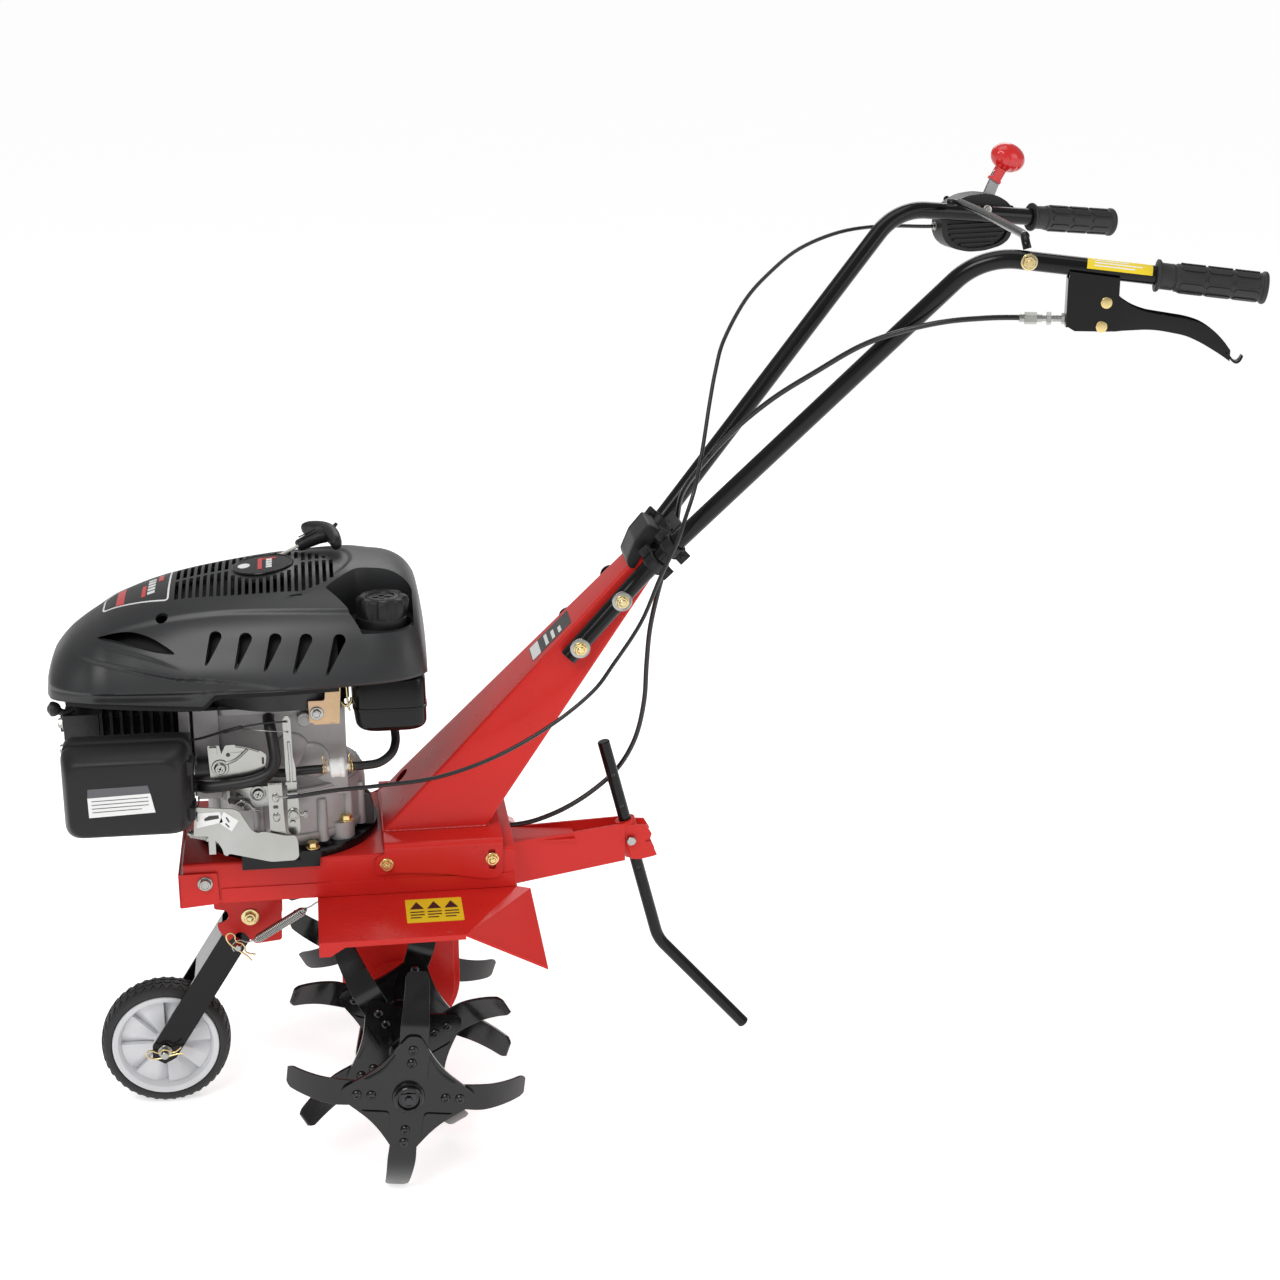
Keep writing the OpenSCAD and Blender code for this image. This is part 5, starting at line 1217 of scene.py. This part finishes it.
def decal(poly, lift, cuts=2, thick=0.3):
    """A thin film over the top of the cowl, its outline given in plan."""
    mesh = bmesh.new()
    corners = [mesh.verts.new((*q, 0)) for q in poly]
    for triangle in tessellate_polygon([[Vector((*q, 0)) for q in poly]]):
        mesh.faces.new([corners[i] for i in triangle])
    bmesh.ops.subdivide_edges(mesh, edges=mesh.edges, cuts=cuts, use_grid_fill=True)
    bmesh.ops.triangulate(mesh, faces=mesh.faces)
    mesh.verts.ensure_lookup_table()
    mesh.verts.index_update()
    plan = [(v.co.x, v.co.y) for v in mesh.verts]
    faces = [[v.index for v in f.verts] for f in mesh.faces]
    rim = [[e.verts[0].index, e.verts[1].index] for e in mesh.edges if len(e.link_faces) == 1]
    mesh.free()
    tops = [(x, y, on_top(x, y) + lift) for x, y in plan]
    n = len(plan)
    faces = [f[::-1] for f in faces] + [[n + i for i in f] for f in faces]
    faces += [[a, b, n + b, n + a] for a, b in rim]
    return Shape().add([(x, y, z - thick) for x, y, z in tops] + tops, faces)


def strip(path, width, lift, thick=0.4):
    """A narrow closed band along a plan path over the top of the cowl."""
    rings = []
    for i, p in enumerate(path):
        ahead = (path[(i + 1) % len(path)] - path[i - 1]).normalized()
        side = Vector((-ahead[1], ahead[0])) * width / 2
        ring = []
        for q, h in ((p - side, -thick), (p + side, -thick), (p + side, 0), (p - side, 0)):
            ring.append((q.x, q.y, on_top(q.x, q.y) + lift + h))
        rings.append(ring)
    return Shape().add([p for ring in rings for p in ring], skin_faces(len(rings), 4, closed=True))


def on_cowl(shape, name, material):
    build(shape, name, "chassis", "cowl_plastic", material=material)


panel = rounded([(-338, -24), (-258, -60), (-257, 60), (-338, 24)], [9, 6, 6, 9], 6)
border = []
for i, p in enumerate(panel):
    q = panel[(i + 1) % len(panel)]
    k = max(1, int(math.dist(p, q) / 3))
    border += [Vector(p).lerp(Vector(q), j / k) for j in range(k)]
on_cowl(strip(border, 2.2, 0.5), "cowl_panel_border", WHITE_LABEL)
red = Shape()
for x0, x1, y0, y1, flare in ((-322, -312, -27, 27, 4), (-291, -286, -33, 6, 0), (-272, -266, 8, 36, 0)):
    red.join(decal([(x0, y0), (x1, y0 - flare), (x1, y1 + flare), (x0, y1)], 0.35))
on_cowl(red, "cowl_panel_red", MATERIALS["red_plastic"])
white = Shape()
for k in range(5):
    white.join(decal(rectangle(-284, -275, 12 * k - 30, 12 * k - 22), 0.35))
on_cowl(white, "cowl_panel_white", WHITE_LABEL)

slope_x = (on_top(-115, -10) - on_top(-175, -10)) / 60
slope_y = (on_top(-145, 20) - on_top(-145, -40)) / 60
badge_at = turned((*BADGE, on_top(*BADGE) - 1.2), (1, 0, slope_x), (-slope_x, -slope_y, 1))
dial = Shape().lathe([(36.5, -3), (37.5, 1.4), (36.6, 2.6), (34.6, 2.6), (34, 1.8), (20, 2.1), (6, 2.2)],
                     badge_at, 72)
build(dial, "cowl_badge", "chassis", "cowl_plastic", material=MATERIALS["black_paint"], bevel=0.3)
marks = Shape()
marks.prism([(x - 23, y * 1.15) for x, y in circle(7.4, 32)], 2, 2.45, badge_at)
for k in range(4):
    marks.box(4, 11, 9 * k - 17, 9 * k - 10.5, 2.1, 2.5, badge_at)
on_cowl(marks, "cowl_badge_white", WHITE_LABEL)
marks = Shape()
marks.box(-6, -1, -20, 22, 2.1, 2.5, badge_at)
marks.box(-1, 16, 16, 20, 2.1, 2.5, badge_at)
on_cowl(marks, "cowl_badge_red", MATERIALS["red_plastic"])

# ---------------------------------------------------------------- engine bay, and painted shade inside the cowl
def box_ring(x0, x1, z0, z1, r, y, inset=0.0):
    """A round-cornered rectangle in X and Z at depth y."""
    poly = rounded(rectangle(x0 + inset, x1 - inset, z0 + inset, z1 - inset), max(1.0, r), 7)
    return [(x, y, z) for x, z in poly]


def wire(shape, points, r, steps=5, n=10):
    return shape.tube(smooth(points, steps), r, n)


SHAFT_X = -130              # the crankshaft's place
FLAT_Y = -74                # near face of the crankcase

# A dark sheet a little inside the cowl's skin, with the tank's place cut out: painted shade behind the
# openings.
liner = cowl_rings(lambda x, a: cowl_base(x, a, 19), [-384 + 8 * i for i in range(53)], 20, 12, 19)
hollow = cowl_rings(lambda x, a: cowl_base(x, a, 21.5), [-380 + 8 * i for i in range(52)], 20, 12, 22)
room_for_tank = Shape().prism(rectangle(-60, 60, -190, -20), 560, 760)
liner = Shape().loft(liner).minus(Shape().loft(hollow)).minus(room_for_tank)
build(liner, "cowl_painted_shade_liner", "chassis", "cowl_plastic", material=DARK)

# ---------------------------------------------------------------- air cleaner
rings = [box_ring(-386, -236, 440, 552, 15, y, inset)
         for y, inset in ((-128.4, 2.5), (-129.5, 0.6), (-132, 0))]
rings += [box_ring(-386, -236, 440, 551, 15, y, inset) for y, inset in ((-146, 0), (-148, 0.7))]
rings.append(box_ring(-387, -236, 438, 551, 15, -148.8, 2.6))
rings.append(box_ring(-387, -237, 438, 551, 16, -151, 3.0))
for k in range(17):
    t = k / 16
    bulge = 1 - math.cos(math.pi / 2 * t)
    y = -152 - 38 * math.sin(math.pi / 2 * t) ** 1.5
    rings.append(box_ring(-387 + 9 * bulge, -237 - 15 * bulge, 438 + 9 * bulge, 551 - 15 * bulge,
                          16 + 4 * bulge, y, 3.0 - 3.0 * step(0, 0.25, t) + 2.5 * bulge))
rings.append(box_ring(-378, -252, 447, 536, 18, -190.2, 20))
cover, clips = Shape().loft(rings), Shape()
for z in (462, 520):
    ear = rounded([(-242, z - 9), (-234.5, z - 7), (-234.5, z + 7), (-242, z + 9)], 2)
    cover.prism(ear, 136, 172, UPRIGHT)
    wire(clips, [(-232.6, -118, z), (-232.2, -134, z), (-233, -152, z), (-233.4, -162, z - 3),
                 (-233.2, -168, z - 8), (-233.4, -160, z - 13), (-232.6, -140, z - 11),
                 (-232.6, -120, z - 11)], 0.9, 4, 8)
build(cover, "filter_cover", "chassis", "black_plastic", ["air_cleaner_cover"], angle=40)
build(clips, "filter_clips", "chassis", "zinc_steel")
cover_face = UPRIGHT @ moved(0, 0, 190.05)
label = Shape().prism([(-355, 472), (-279, 475), (-283.5, 499), (-355.5, 496.5)], 0, 0.45, cover_face)
build(label, "filter_label", "chassis", "black_plastic", material=WHITE_LABEL)
label = Shape().prism([(-355.5, 496.6), (-283.5, 499.1), (-286, 509), (-354.5, 507.5)], 0, 0.5, cover_face)
for k, x1 in enumerate((-294, -286, -286, -286)):
    z = 478 + 4.6 * k
    label.prism([(-351, z), (x1, z + 2), (x1, z + 3), (-351, z + 1)], 0.3, 0.6, cover_face)
build(label, "filter_label_print", "chassis", "black_plastic", material=GREY_LABEL)

# ---------------------------------------------------------------- tank and cap
FILLER = moved(-5, -88, 0)
levels = []
for k in range(9):
    a = math.pi / 2 * k / 8
    levels.append((532 + 12 * (1 - math.cos(a)), 12 * (1 - math.sin(a))))
levels += [(560, 0), (560.6, -0.9), (563.4, -0.9), (564, 0), (596, 0.4), (601, 2.5), (602.8, 6)]
rings = []
for z, inset in levels:
    lean = 3.5 * max(0, (560 - z) / 28)
    poly = rounded(rectangle(-44 + inset + lean, 44 - inset, -118 + inset, 118 - inset), 20, 8)
    rings.append([(*q, z) for q in poly])
tank = Shape().loft(rings)
tank.prism(rounded(rectangle(-43, 15, -111, 111), 14, 6), 601, 640)
tank.lathe([(24, 636), (24, 668), (18, 668), (18, 638)], FILLER, 48, ring=True)
tank.lathe([(5, -9), (5, -5.5), (7.6, -4), (7.6, -1), (5.5, 0)], moved(6, -62, 535), 24)
build(tank, "tank", "chassis", "black_paint", ["fuel_tank"], angle=50)

LOBES, CAP_AROUND = 8, 128
levels = [(670, 24.6, 0), (656, 24.6, 0), (656, 29.4, 0), (658, 30.6, 0), (673, 31, 0), (674, 29.8, 0.1),
          (676, 29.8, 0.35), (684, 30.2, 1), (691, 30.4, 1), (694.4, 29.6, 1), (696.6, 27.8, 0.8),
          (697.8, 25, 0.35), (697.2, 22.6, 0.1), (696.6, 20, 0), (697.4, 18.6, 0), (697.4, 15.5, 0),
          (695.8, 14.5, 0), (695.6, 8, 0), (696.2, 2, 0)]
rings = []
for z, r, lobes in levels:
    ring = []
    for j in range(CAP_AROUND):
        a = TURN * j / CAP_AROUND
        wave = math.tanh(3.2 * math.cos(LOBES * a)) / math.tanh(3.2)
        reach = r + lobes * (1.9 * wave - 0.3)
        ring.append((reach * math.cos(a), reach * math.sin(a), z))
    rings.append(ring)
cap = Shape().loft(rings, FILLER)
cap_mark = FILLER @ moved(0, 0, 695.5)
for half_x, half_y in ((11, 3), (3, 11)):
    cap.prism(rounded(rectangle(-half_x, half_x, -half_y, half_y), 2), -0.2, 1.3, cap_mark)
build(cap, "cap", "cap", "black_plastic", ["fuel_cap"], angle=35)

# ---------------------------------------------------------------- starter handle and rope
pull = moved(-104, 35, 727) @ spun(25, "Z") @ spun(73, "Y")
GRIP_AROUND, STEM_AROUND = 32, 28
rings = []
for i in range(25):
    t = -1 + i / 12
    end = math.sqrt(max(0.02, 1 - max(0, (abs(t) - 0.86) / 0.15) ** 2))
    w = 10.6 * (1 - 0.25 * t ** 2) * end
    h = 10.2 * (1 - 0.34 * abs(t) ** 1.5) * end
    centre = Vector((1.5 * t * t, 47 * t, 44 - 11 * t * t))
    corners = [squared(TURN * j / GRIP_AROUND) for j in range(GRIP_AROUND)]
    rings.append([centre + Vector((w * c, 0, h * s)) for c, s in corners])
handle = Shape().loft(rings, pull)
rings = []
STEM = ((2, 6, 7), (4, 7.2, 8), (14, 7.6, 8.8), (28, 8.6, 12), (36, 9.3, 19), (42, 9.2, 27), (46, 6, 20))
for z, a, b in STEM:
    corners = [squared(TURN * j / STEM_AROUND) for j in range(STEM_AROUND)]
    rings.append([(a * c, b * s, z) for c, s in corners])
handle.loft(rings, pull)
for s in (-1, 1):
    handle.tube([pull @ Vector((-8.6, s * 4, z)) for z in (8, 20, 32)], 0.9, 8)
handle.rod(pull @ Vector((0, 0, 50)), pull @ Vector((-4, 1, 60)), 3, 2.2, edge=0.5)
build(handle, "pull_grip", "starter", "black_plastic", ["starter_handle"], angle=50)
rope = Shape().tube([pull @ Vector((0, 0, -24 + 2 * k)) for k in range(16)], 2, 14)
loose_piece(rope, "pull_rope", "rope_fibre", ["starter_rope"])

# ---------------------------------------------------------------- hoses, their clips and the fuel filter
hoses = Shape()
for route, r, n in (
        ([(6, -62, 527), (6, -62, 516), (6, -72, 504), (0, -88, 495), (-16, -102, 489), (-38, -106, 488),
          (-48, -106, 488)], 5.4, 18),
        ([(-84, -106, 486), (-94, -106, 486), (-112, -106, 485), (-134, -102, 482), (-146, -98, 482),
          (-157.5, -98, 482)], 5.4, 18),
        ([(-146, -75, 546), (-146, -88, 546), (-144, -104, 540), (-141, -116, 524), (-140, -124, 506),
          (-148, -128, 492), (-170, -129, 484), (-200, -129, 480), (-222, -127, 478), (-230, -119.5, 477),
          (-239, -119, 477)], 7, 22)):
    wire(hoses, route, r, 6, n)
build(hoses, "hoses", "chassis", "hose_rubber", ["engine_hoses"], angle=60)


def hose_clip(shape, at, r=6.4):
    """Two turns of wire round a hose, with their ends bent outwards."""
    for d in (-1.6, 1.6):
        angles = [math.radians(20 + 16 * i) for i in range(21)]
        shape.tube([at @ Vector((r * math.cos(a), r * math.sin(a), d + 0.5 * math.sin(a))) for a in angles],
                   0.8, 8)
    for s in (-1, 1):
        p = at @ Vector((*polar(r, 20 * s), 1.6 * s))
        q = at @ Vector((r * 1.9, 5 * s, 1.8 * s))
        tip = q + at.to_3x3() @ Vector((1.6, 1.6 * s, 1.5))
        shape.tube([p, p.lerp(q, 0.6), q, tip], 0.8, 8)


clips = Shape()
for place in ((-82, -106, 486.4), (-50, -106, 488)):
    hose_clip(clips, turned(place, UP, (1, 0, 0)))
hose_clip(clips, turned((5.8, -64, 514), UP, UP))
build(clips, "hose_clips", "chassis", "gold_zinc", angle=60)
profile = [(3, -16.5), (4.2, -16), (3.6, -13), (4.2, -12.6), (3.6, -10.2), (4.2, -10), (5, -9.4), (9.8, -9),
           (11.3, -8), (11.6, -6), (11.2, -5), (11.2, 3.2), (12.2, 3.6), (12.4, 5), (12.2, 7.6), (11, 8.6),
           (5, 9.4), (4.2, 10), (3.6, 10.4), (4.2, 12.8), (3.6, 13.2), (4.2, 16), (3, 16.5)]
fuel_filter = Shape().lathe(profile, turned((-66, -106, 487), UP, (1, 0, 0.06)), 40)
build(fuel_filter, "filter_body", "chassis", "white_plastic", ["fuel_filter"], angle=30)


# ---------------------------------------------------------------- control bracket and its small parts
def star_screw(shape, x, y, z, r):
    """A flanged screw with a star-shaped socket, on the near side."""
    at = facing(x, y, z)
    profile = [(1.45, 0), (1.5, 0.5), (1.4, 1.6), (1.05, 1.8), (1, 2.2), (0.96, 5), (0.8, 6.2), (0.52, 6.3),
               (0.46, 4.4)]
    shape.lathe([(r * share, h) for share, h in profile], at, 32)
    for k in range(4):
        shape.prism(rectangle(-0.1925 * r, 0.1925 * r, 0, 0.5 * r), 4.3, 5.6, at @ spun(90 * k + 20, "Z"))


zinc = Shape()
levers = [(-219, 528.5), (-205, 528.5), (-203, 517), (-198, 528), (-186, 528.5), (-157, 519.5), (-149.5, 514),
          (-152, 497), (-157, 493), (-171, 487.5), (-191, 484), (-217, 485)]
levers = rounded(levers, [2, 2, 1.5, 2, 3, 3, 4, 3, 3, 4, 4, 4], 4)
slot = rounded(rectangle(-155.5, -152.8, 502, 511), 1, 3)
zinc.plate(levers, -121, -119.2, holes=[circle(2.6, 16, (-195, 516)), slot])
zinc.plate(rounded([(-217, 527), (-208, 527), (-208, 514), (-217, 514)], 2), -125, -120.8)
wire(zinc, [(-199, -121.4, 505), (-192, -121.6, 507), (-184, -121.6, 511), (-172, -121.6, 522)], 1.7)
wire(zinc, [(-186, -121.4, 527), (-172, -121.6, 524), (-158, -121.6, 519)], 1.5, 4)
star_screw(zinc, -205, -121, 500, 7)
star_screw(zinc, -162, -116, 463, 6.6)
zinc.rod((-205, -119, 500), (-205, -74.2, 500), 3.4)
cam = rounded([(-196, 470), (-146, 472), (-145, 452), (-150, 446), (-176, 444), (-196, 452)], 4)
zinc.plate(cam, -117, -114.4, holes=[circle(4, 16, (-186, 461))])
zinc.plate(rounded([(-199, 458), (-184, 464), (-182, 459), (-197, 452)], 1.5), -121, -116.8)
wire(zinc, [(-190, -120, 452), (-182, -121, 456), (-174, -121, 452), (-168, -120, 444), (-160, -119, 441)],
     1.4)
zinc.rod((-176, -116, 450), (-176, -126, 450), 3.4, edge=0.5)
zinc.rod((-176, -124, 450), (-176, -127, 450), 5, edge=0.6)
clamp_plate = rounded([(-149, 490), (-132.6, 490), (-132, 456), (-130.5, 427), (-148.6, 427), (-149, 456)], 2)
zinc.plate(clamp_plate, -156, -153.8, holes=[rounded(rectangle(-144, -138, 458, 462), 1, 3)])
for z in (472, 447):
    zinc.ball((-140.5, -155.4, z), 5.2, 18, stretch=(0.9, 0.5, 1.25))
zinc.box(-148.6, -130.6, -156, -140, 426, 428)
zinc.box(-145, -132, -156, -94.9, 417.6, 419.8)
zinc.box(-149, -132.6, -156, -150, 488, 490.2)
zinc.tube([(-141, -157.2, 472.4), (-128, -156, 472), (-112, -154.5, 472)], 1.1, 10)
build(zinc, "lever_plates", "chassis", "zinc_steel", ["control_bracket"], bevel=0.35)

tan = Shape()
tank_ear = [(-98, 571), (-78, 571), (-75.5, 606), (-57, 606), (-61, 540), (-97, 543)]
tan.plate(rounded(tank_ear, [2, 3, 2, 2, 3, 3], 4), -98, -95.8)
tan.box(-92, -66, -98, -74.1, 540.4, 542.8)
build(tan, "tank_bracket", "chassis", "zinc_steel", bevel=0.3, material=TAN)
bolt = Shape().hex_head((-88, -98.1, 555), NEAR, 10, 4.4, washer=8.4, spin=0.2)
bolt.rod((-88, -97, 555), (-88, -74.2, 555), 3)
build(bolt, "tank_bracket_bolt", "chassis", "zinc_steel", bevel=0.25)
link = wire(Shape(), [(-52, -94, 606), (-51, -95, 580), (-50, -96, 562), (-48, -96, 556)], 1.3, n=8)
wire(link, [(-58, -92, 566), (-53, -94, 562), (-47, -95, 566), (-45, -94, 572)], 2.2)
build(link, "choke_link", "chassis", "gold_zinc", angle=60)

# ---------------------------------------------------------------- governor arm
profile = [(-128.5, 566), (-125, 571), (-122, 571), (-119, 566), (-118.4, 520), (-115.6, 505), (-115.4, 480),
           (-113.8, 460), (-113.4, 424), (-117, 419), (-124, 419), (-127.5, 424), (-127.2, 460),
           (-126.4, 480), (-127.8, 505), (-127.6, 520)]
eyes = [circle(1.7, 14, (-123.6, 564)), circle(1.5, 14, (-123.2, 551))]
arm = Shape().plate(rounded(profile, 2.5, 4), -146, -144.2, holes=eyes)
wire(arm, [(-122.6, -146.3, 538), (-121.8, -147, 525), (-121.4, -147, 505), (-121.4, -146.4, 486)], 1.9, n=12)
arm.box(-128.2, -115, -148, -142, 484, 487.4)
arm.hex_head((-120.5, -146.2, 446), NEAR, 10, 4.6, washer=7.4, spin=0.1)
arm.rod((-122, -149, 434), (-122, -95.1, 434), 3.5)
arm.rod((-113, -145, 444), (-103, -145, 444), 2.4, edge=0.3)
arm.prism(circle(4.6, 6), -108, -104, turned((0, -145, 444), (0, 1, 0), (1, 0, 0)))
build(arm, "speed_arm", "governor", "zinc_steel", ["governor_arm"], bevel=0.3)

# ---------------------------------------------------------------- shield, label and idle spring
outline = [(-236, 464.5), (-233, 466), (-190, 461.5), (-184, 458), (-171, 434), (-164, 429), (-156, 431),
           (-131, 424), (-119, 424), (-116.5, 416), (-116, 396), (-121, 391.5), (-149, 391), (-198, 404.5),
           (-201, 401.5), (-205, 403.5), (-206, 410), (-211, 420), (-222, 428), (-239, 429.5)]
outline = rounded(outline, [1, 2, 5, 5, 5, 5, 5, 5, 4, 4, 5, 5, 5, 3, 1.5, 2, 3, 4, 4, 2], 4)
shield = Shape().plate(outline, -160, -158.2)
shield.box(-176, -156, -159, -94.9, 403.4, 405.6)
build(shield, "shield", "chassis", "zinc_steel", ["control_shield"], bevel=0.3)
film = turned((-232, -160.1, 447), (0.97, 0, 0.06), NEAR)
slanted = turned((-204, -160.15, 449.5), (0.76, 0, -0.5), NEAR)
label = Shape().prism([(-2, 12), (26, 10.5), (28, -3), (-3, -7)], 0, 0.4, film)
label.prism([(-4, 9), (17, 8), (17, -8), (-1, -6)], 0, 0.35, slanted)
build(label, "shield_label", "chassis", "zinc_steel", material=WHITE_LABEL)
label = Shape().prism([(7, 4), (13, 7), (24, 6.5), (24, 2.5), (13, 1.5), (7, 1)], 0.2, 0.7, film)
label.prism([(3, 5), (9, 1.5), (8, 0.2), (2, 3.6)], 0.2, 0.7, slanted)
label.prism([(6, -2), (12, -4), (11.5, -5.4), (5.5, -3.4)], 0.2, 0.7, slanted)
build(label, "shield_label_print", "chassis", "zinc_steel", material=PRINT)

start, end = Vector((-246, -150, 430)), Vector((-216, -150, 422))
along = (end - start).normalized()
spring = Shape().rod(start, end, 2.6, edge=0.4)
spring.tube(coil(start + along * 3, start + along * 23, lambda t: 4.4, 12, 12), 0.85, 8)
spring.rod(end - along * 8, end - along * 4, 6, edge=0.6)
spring.box(-222, -214, -158, -146, 404, 430)
build(spring, "idle_spring", "chassis", "zinc_steel", angle=60)
wires = wire(Shape(), [(-240, -119, 536), (-225, -124, 540), (-196, -136, 552), (-190, -138, 553)], 1.5)
wires.rod((-198, -136, 551), (-176, -140, 557.6), 2.3, edge=0.4)
wire(wires, [(-178, -139.5, 557), (-150, -143, 562), (-123.6, -147.2, 564.2)], 1.1, 4, 8)
loose_piece(wires, "governor_link", "black_plastic", [])
wires = Shape().tube([(-176, -140, 555), (-150, -143, 552.4), (-123.2, -147, 551)], 0.55, 8)
loose_piece(wires, "governor_spring_wire", "zinc_steel", [])

# ---------------------------------------------------------------- castings on the crankcase
case_at = moved(SHAFT_X, 0, 0)
cast = Shape()
cast.plate(rounded([(-253, 560), (-240, 560), (-240, 500), (-246, 470), (-253, 470)], 2), -84, -60)
cast.box(-236, -206.2, -84, -72, 446, 560)
cast.prism(rounded([(-206, -83), (-62, -83), (-56, -70), (-56, 70), (-62, 83), (-206, 83)], 6), 552, 559.6)
cast.rod((-103, -76, 545), (-103, -92, 545), 9.2, edge=1)
cast.rod((-103, -92, 545), (-103, -92.6, 545), 5)
for x, z in ((-120, 500), (-96, 486)):
    cast.ball((x, FLAT_Y, z), 20, 28, stretch=(1.1, 0.35, 1.2))
for a0 in (-80, 16):
    angles = [a0 + 4 * i for i in range(17)]
    cast.prism([polar(95, a) for a in angles] + [polar(95 * 0.93, a) for a in angles[::-1]], 386, 452,
               case_at)
for a in (-64, -40, -22, 22, 40, 64, 110, 150, -110, -150):
    cast.lathe([(7.6, 386), (7.2, 404), (6.6, 438), (5.6, 441)], moved(*polar(97, a, (SHAFT_X, 0)), 0), 20)
for a in range(-76, 77, 19):
    cast.prism([(74, -1.6), (94, -1.6), (94, 1.6), (74, 1.6)], 440, 455, case_at @ spun(a, "Z"))
cast.tube([(*polar(90, a, (SHAFT_X, 0)), 452) for a in range(-84, 85, 6)], 4.2, 12)
sump = [(76, 389), (99, 389), (100.5, 391), (100.5, 398), (98, 400), (98, 436), (96.5, 444), (92, 452),
        (84, 462), (76, 470)]
cast.lathe(sump, case_at, 96, ring=True)
build(cast, "crankcase_castings", "chassis", "cast_alloy", bevel=0.9, angle=40)

dark = Shape()
dark.prism(circle(7.6, 6), 548, 572, moved(-103, -76, 0))
for a in (-58, -30, 30, 58):
    dark.prism(rectangle(94.5, 96.2, -7, 7), 388, 400, case_at @ spun(a, "Z"))
stop = rounded([(-54, 384), (-23, 384), (-23, 404), (-26, 419), (-30, 424), (-37, 424), (-41, 413),
                (-48, 400)], 2.5)
for y0, y1 in ((-40, -34), (-26, -20)):
    dark.plate(stop, y0, y1)
dark.plate(rounded([(-52, 385), (-25, 385), (-28, 408), (-44, 404)], 2), -35, -25)
build(dark, "crankcase_darks", "chassis", "dark_alloy", bevel=0.6)
feet = Shape()
for x, y in ((-100, -104), (-216, -66), (-100, 104)):
    feet.hex_head((x, y, 383.2), UP, 12, 6, washer=9)
build(feet, "engine_feet_bolts", "chassis", "gold_zinc", bevel=0.3)
studs = Shape()
for z in (472, 504, 538):
    for y in (-42, 42):
        studs.hex_head((-392.4, y, z), (-1, 0, 0), 11, 5, washer=8)
build(studs, "head_bolts", "chassis", "zinc_steel", bevel=0.3)

# ---------------------------------------------------------------- muffler guard and plug boot
can = Shape().loft([box_ring(-384, -252, 448, 536, 14, y, inset)
                    for y, inset in ((100, 4), (101, 1), (104, 0), (146, 0), (149, 1), (150, 4))])
can.box(-330, -300, 62.5, 101, 478, 510)
louvres = [rounded(rectangle(x, x + 8, z, z + 20), 3.5)
           for x in range(-374, -264, 15) for z in (454, 482, 510)]
can.plate(rounded(rectangle(-386, -250, 446, 538), 9), 154, 156.4, holes=louvres)
for z in (446.6, 536.2):
    can.box(-377, -259, 140, 155.5, z, z + 1.4)
for x in (-379, -257):
    for z in (453, 531):
        can.rod((x, 149, z), (x, 154.6, z), 3)
        can.rod((x, 156, z), (x, 157.8, z), 4.6, edge=0.5)
build(can, "muffler_guard", "chassis", SLOT_OF["muffler"], ["muffler"], bevel=0.5)
boot = Shape().ball((-402, -46, 558), 8.5, 24)
boot.lathe([(8.5, 0), (9.2, 2), (9, 6), (6, 8)], turned((-400, -46, 558), (0, 1, 0), (-1, 0, 0)), 24)
wire(boot, [(-398, -46, 556), (-390, -44, 552), (-380, -40, 556)], 4.4, 4, 14)
build(boot, "plug_boot", "chassis", "dark_alloy", angle=50)

# ---------------------------------------------------------------- stage
def area_light(name, place, target, size, power):
    data = bpy.data.lights.new(name, "AREA")
    data.shape, data.size, data.size_y, data.energy = "RECTANGLE", *size, power
    o = bpy.data.objects.new(name, data)
    bpy.context.scene.collection.objects.link(o)
    o.location = place
    o.rotation_euler = (Vector(target) - Vector(place)).to_track_quat("-Z", "Y").to_euler()


scene = bpy.context.scene
FLOOR_HALF = 30
floor = bpy.data.objects.new("floor", bpy.data.meshes.new("floor"))
floor_corners = [(x, y, 0) for x, y in rectangle(-FLOOR_HALF, FLOOR_HALF, -FLOOR_HALF, FLOOR_HALF)]
floor.data.from_pydata(floor_corners, [], [(0, 1, 2, 3)])
paint = surface("floor_paint", (0.9, 0.9, 0.9), 0.8, vary=0.004, cloud=2)
shader = next(n for n in paint.node_tree.nodes if n.type == "BSDF_PRINCIPLED")
shader.inputs["Emission Color"].default_value = (1, 1, 1, 1)
shader.inputs["Emission Strength"].default_value = 0.62
floor.data.materials.append(paint)
scene.collection.objects.link(floor)

area_light("key", (-1.4, -2.2, 3.0), (0, 0, 0.5), (1.6, 1.2), 44)
area_light("fill", (2.4, -1.6, 1.6), (0, 0, 0.6), (1.4, 1.4), 12)
area_light("back", (0.6, 2.6, 2.6), (0, 0, 0.6), (2.4, 1.0), 26)
area_light("top", (0.0, 0.0, 3.4), (0, 0, 0), (2.2, 1.6), 18)

world = bpy.data.worlds.new("studio")
world.use_nodes = True
background = world.node_tree.nodes["Background"].inputs
background["Color"].default_value = (1, 1, 1, 1)
background["Strength"].default_value = 0.4
scene.world = world
scene.view_settings.view_transform = "Standard"

camera = bpy.data.objects.new("camera", bpy.data.cameras.new("camera"))
camera.data.sensor_width, camera.data.lens = 36.0, 65.73
camera.location = (-0.3693, -2.7761, 1.5171)
camera.rotation_euler = (math.radians(90 - 18.157), 0, math.radians(-8.041))
scene.collection.objects.link(camera)
scene.camera = camera
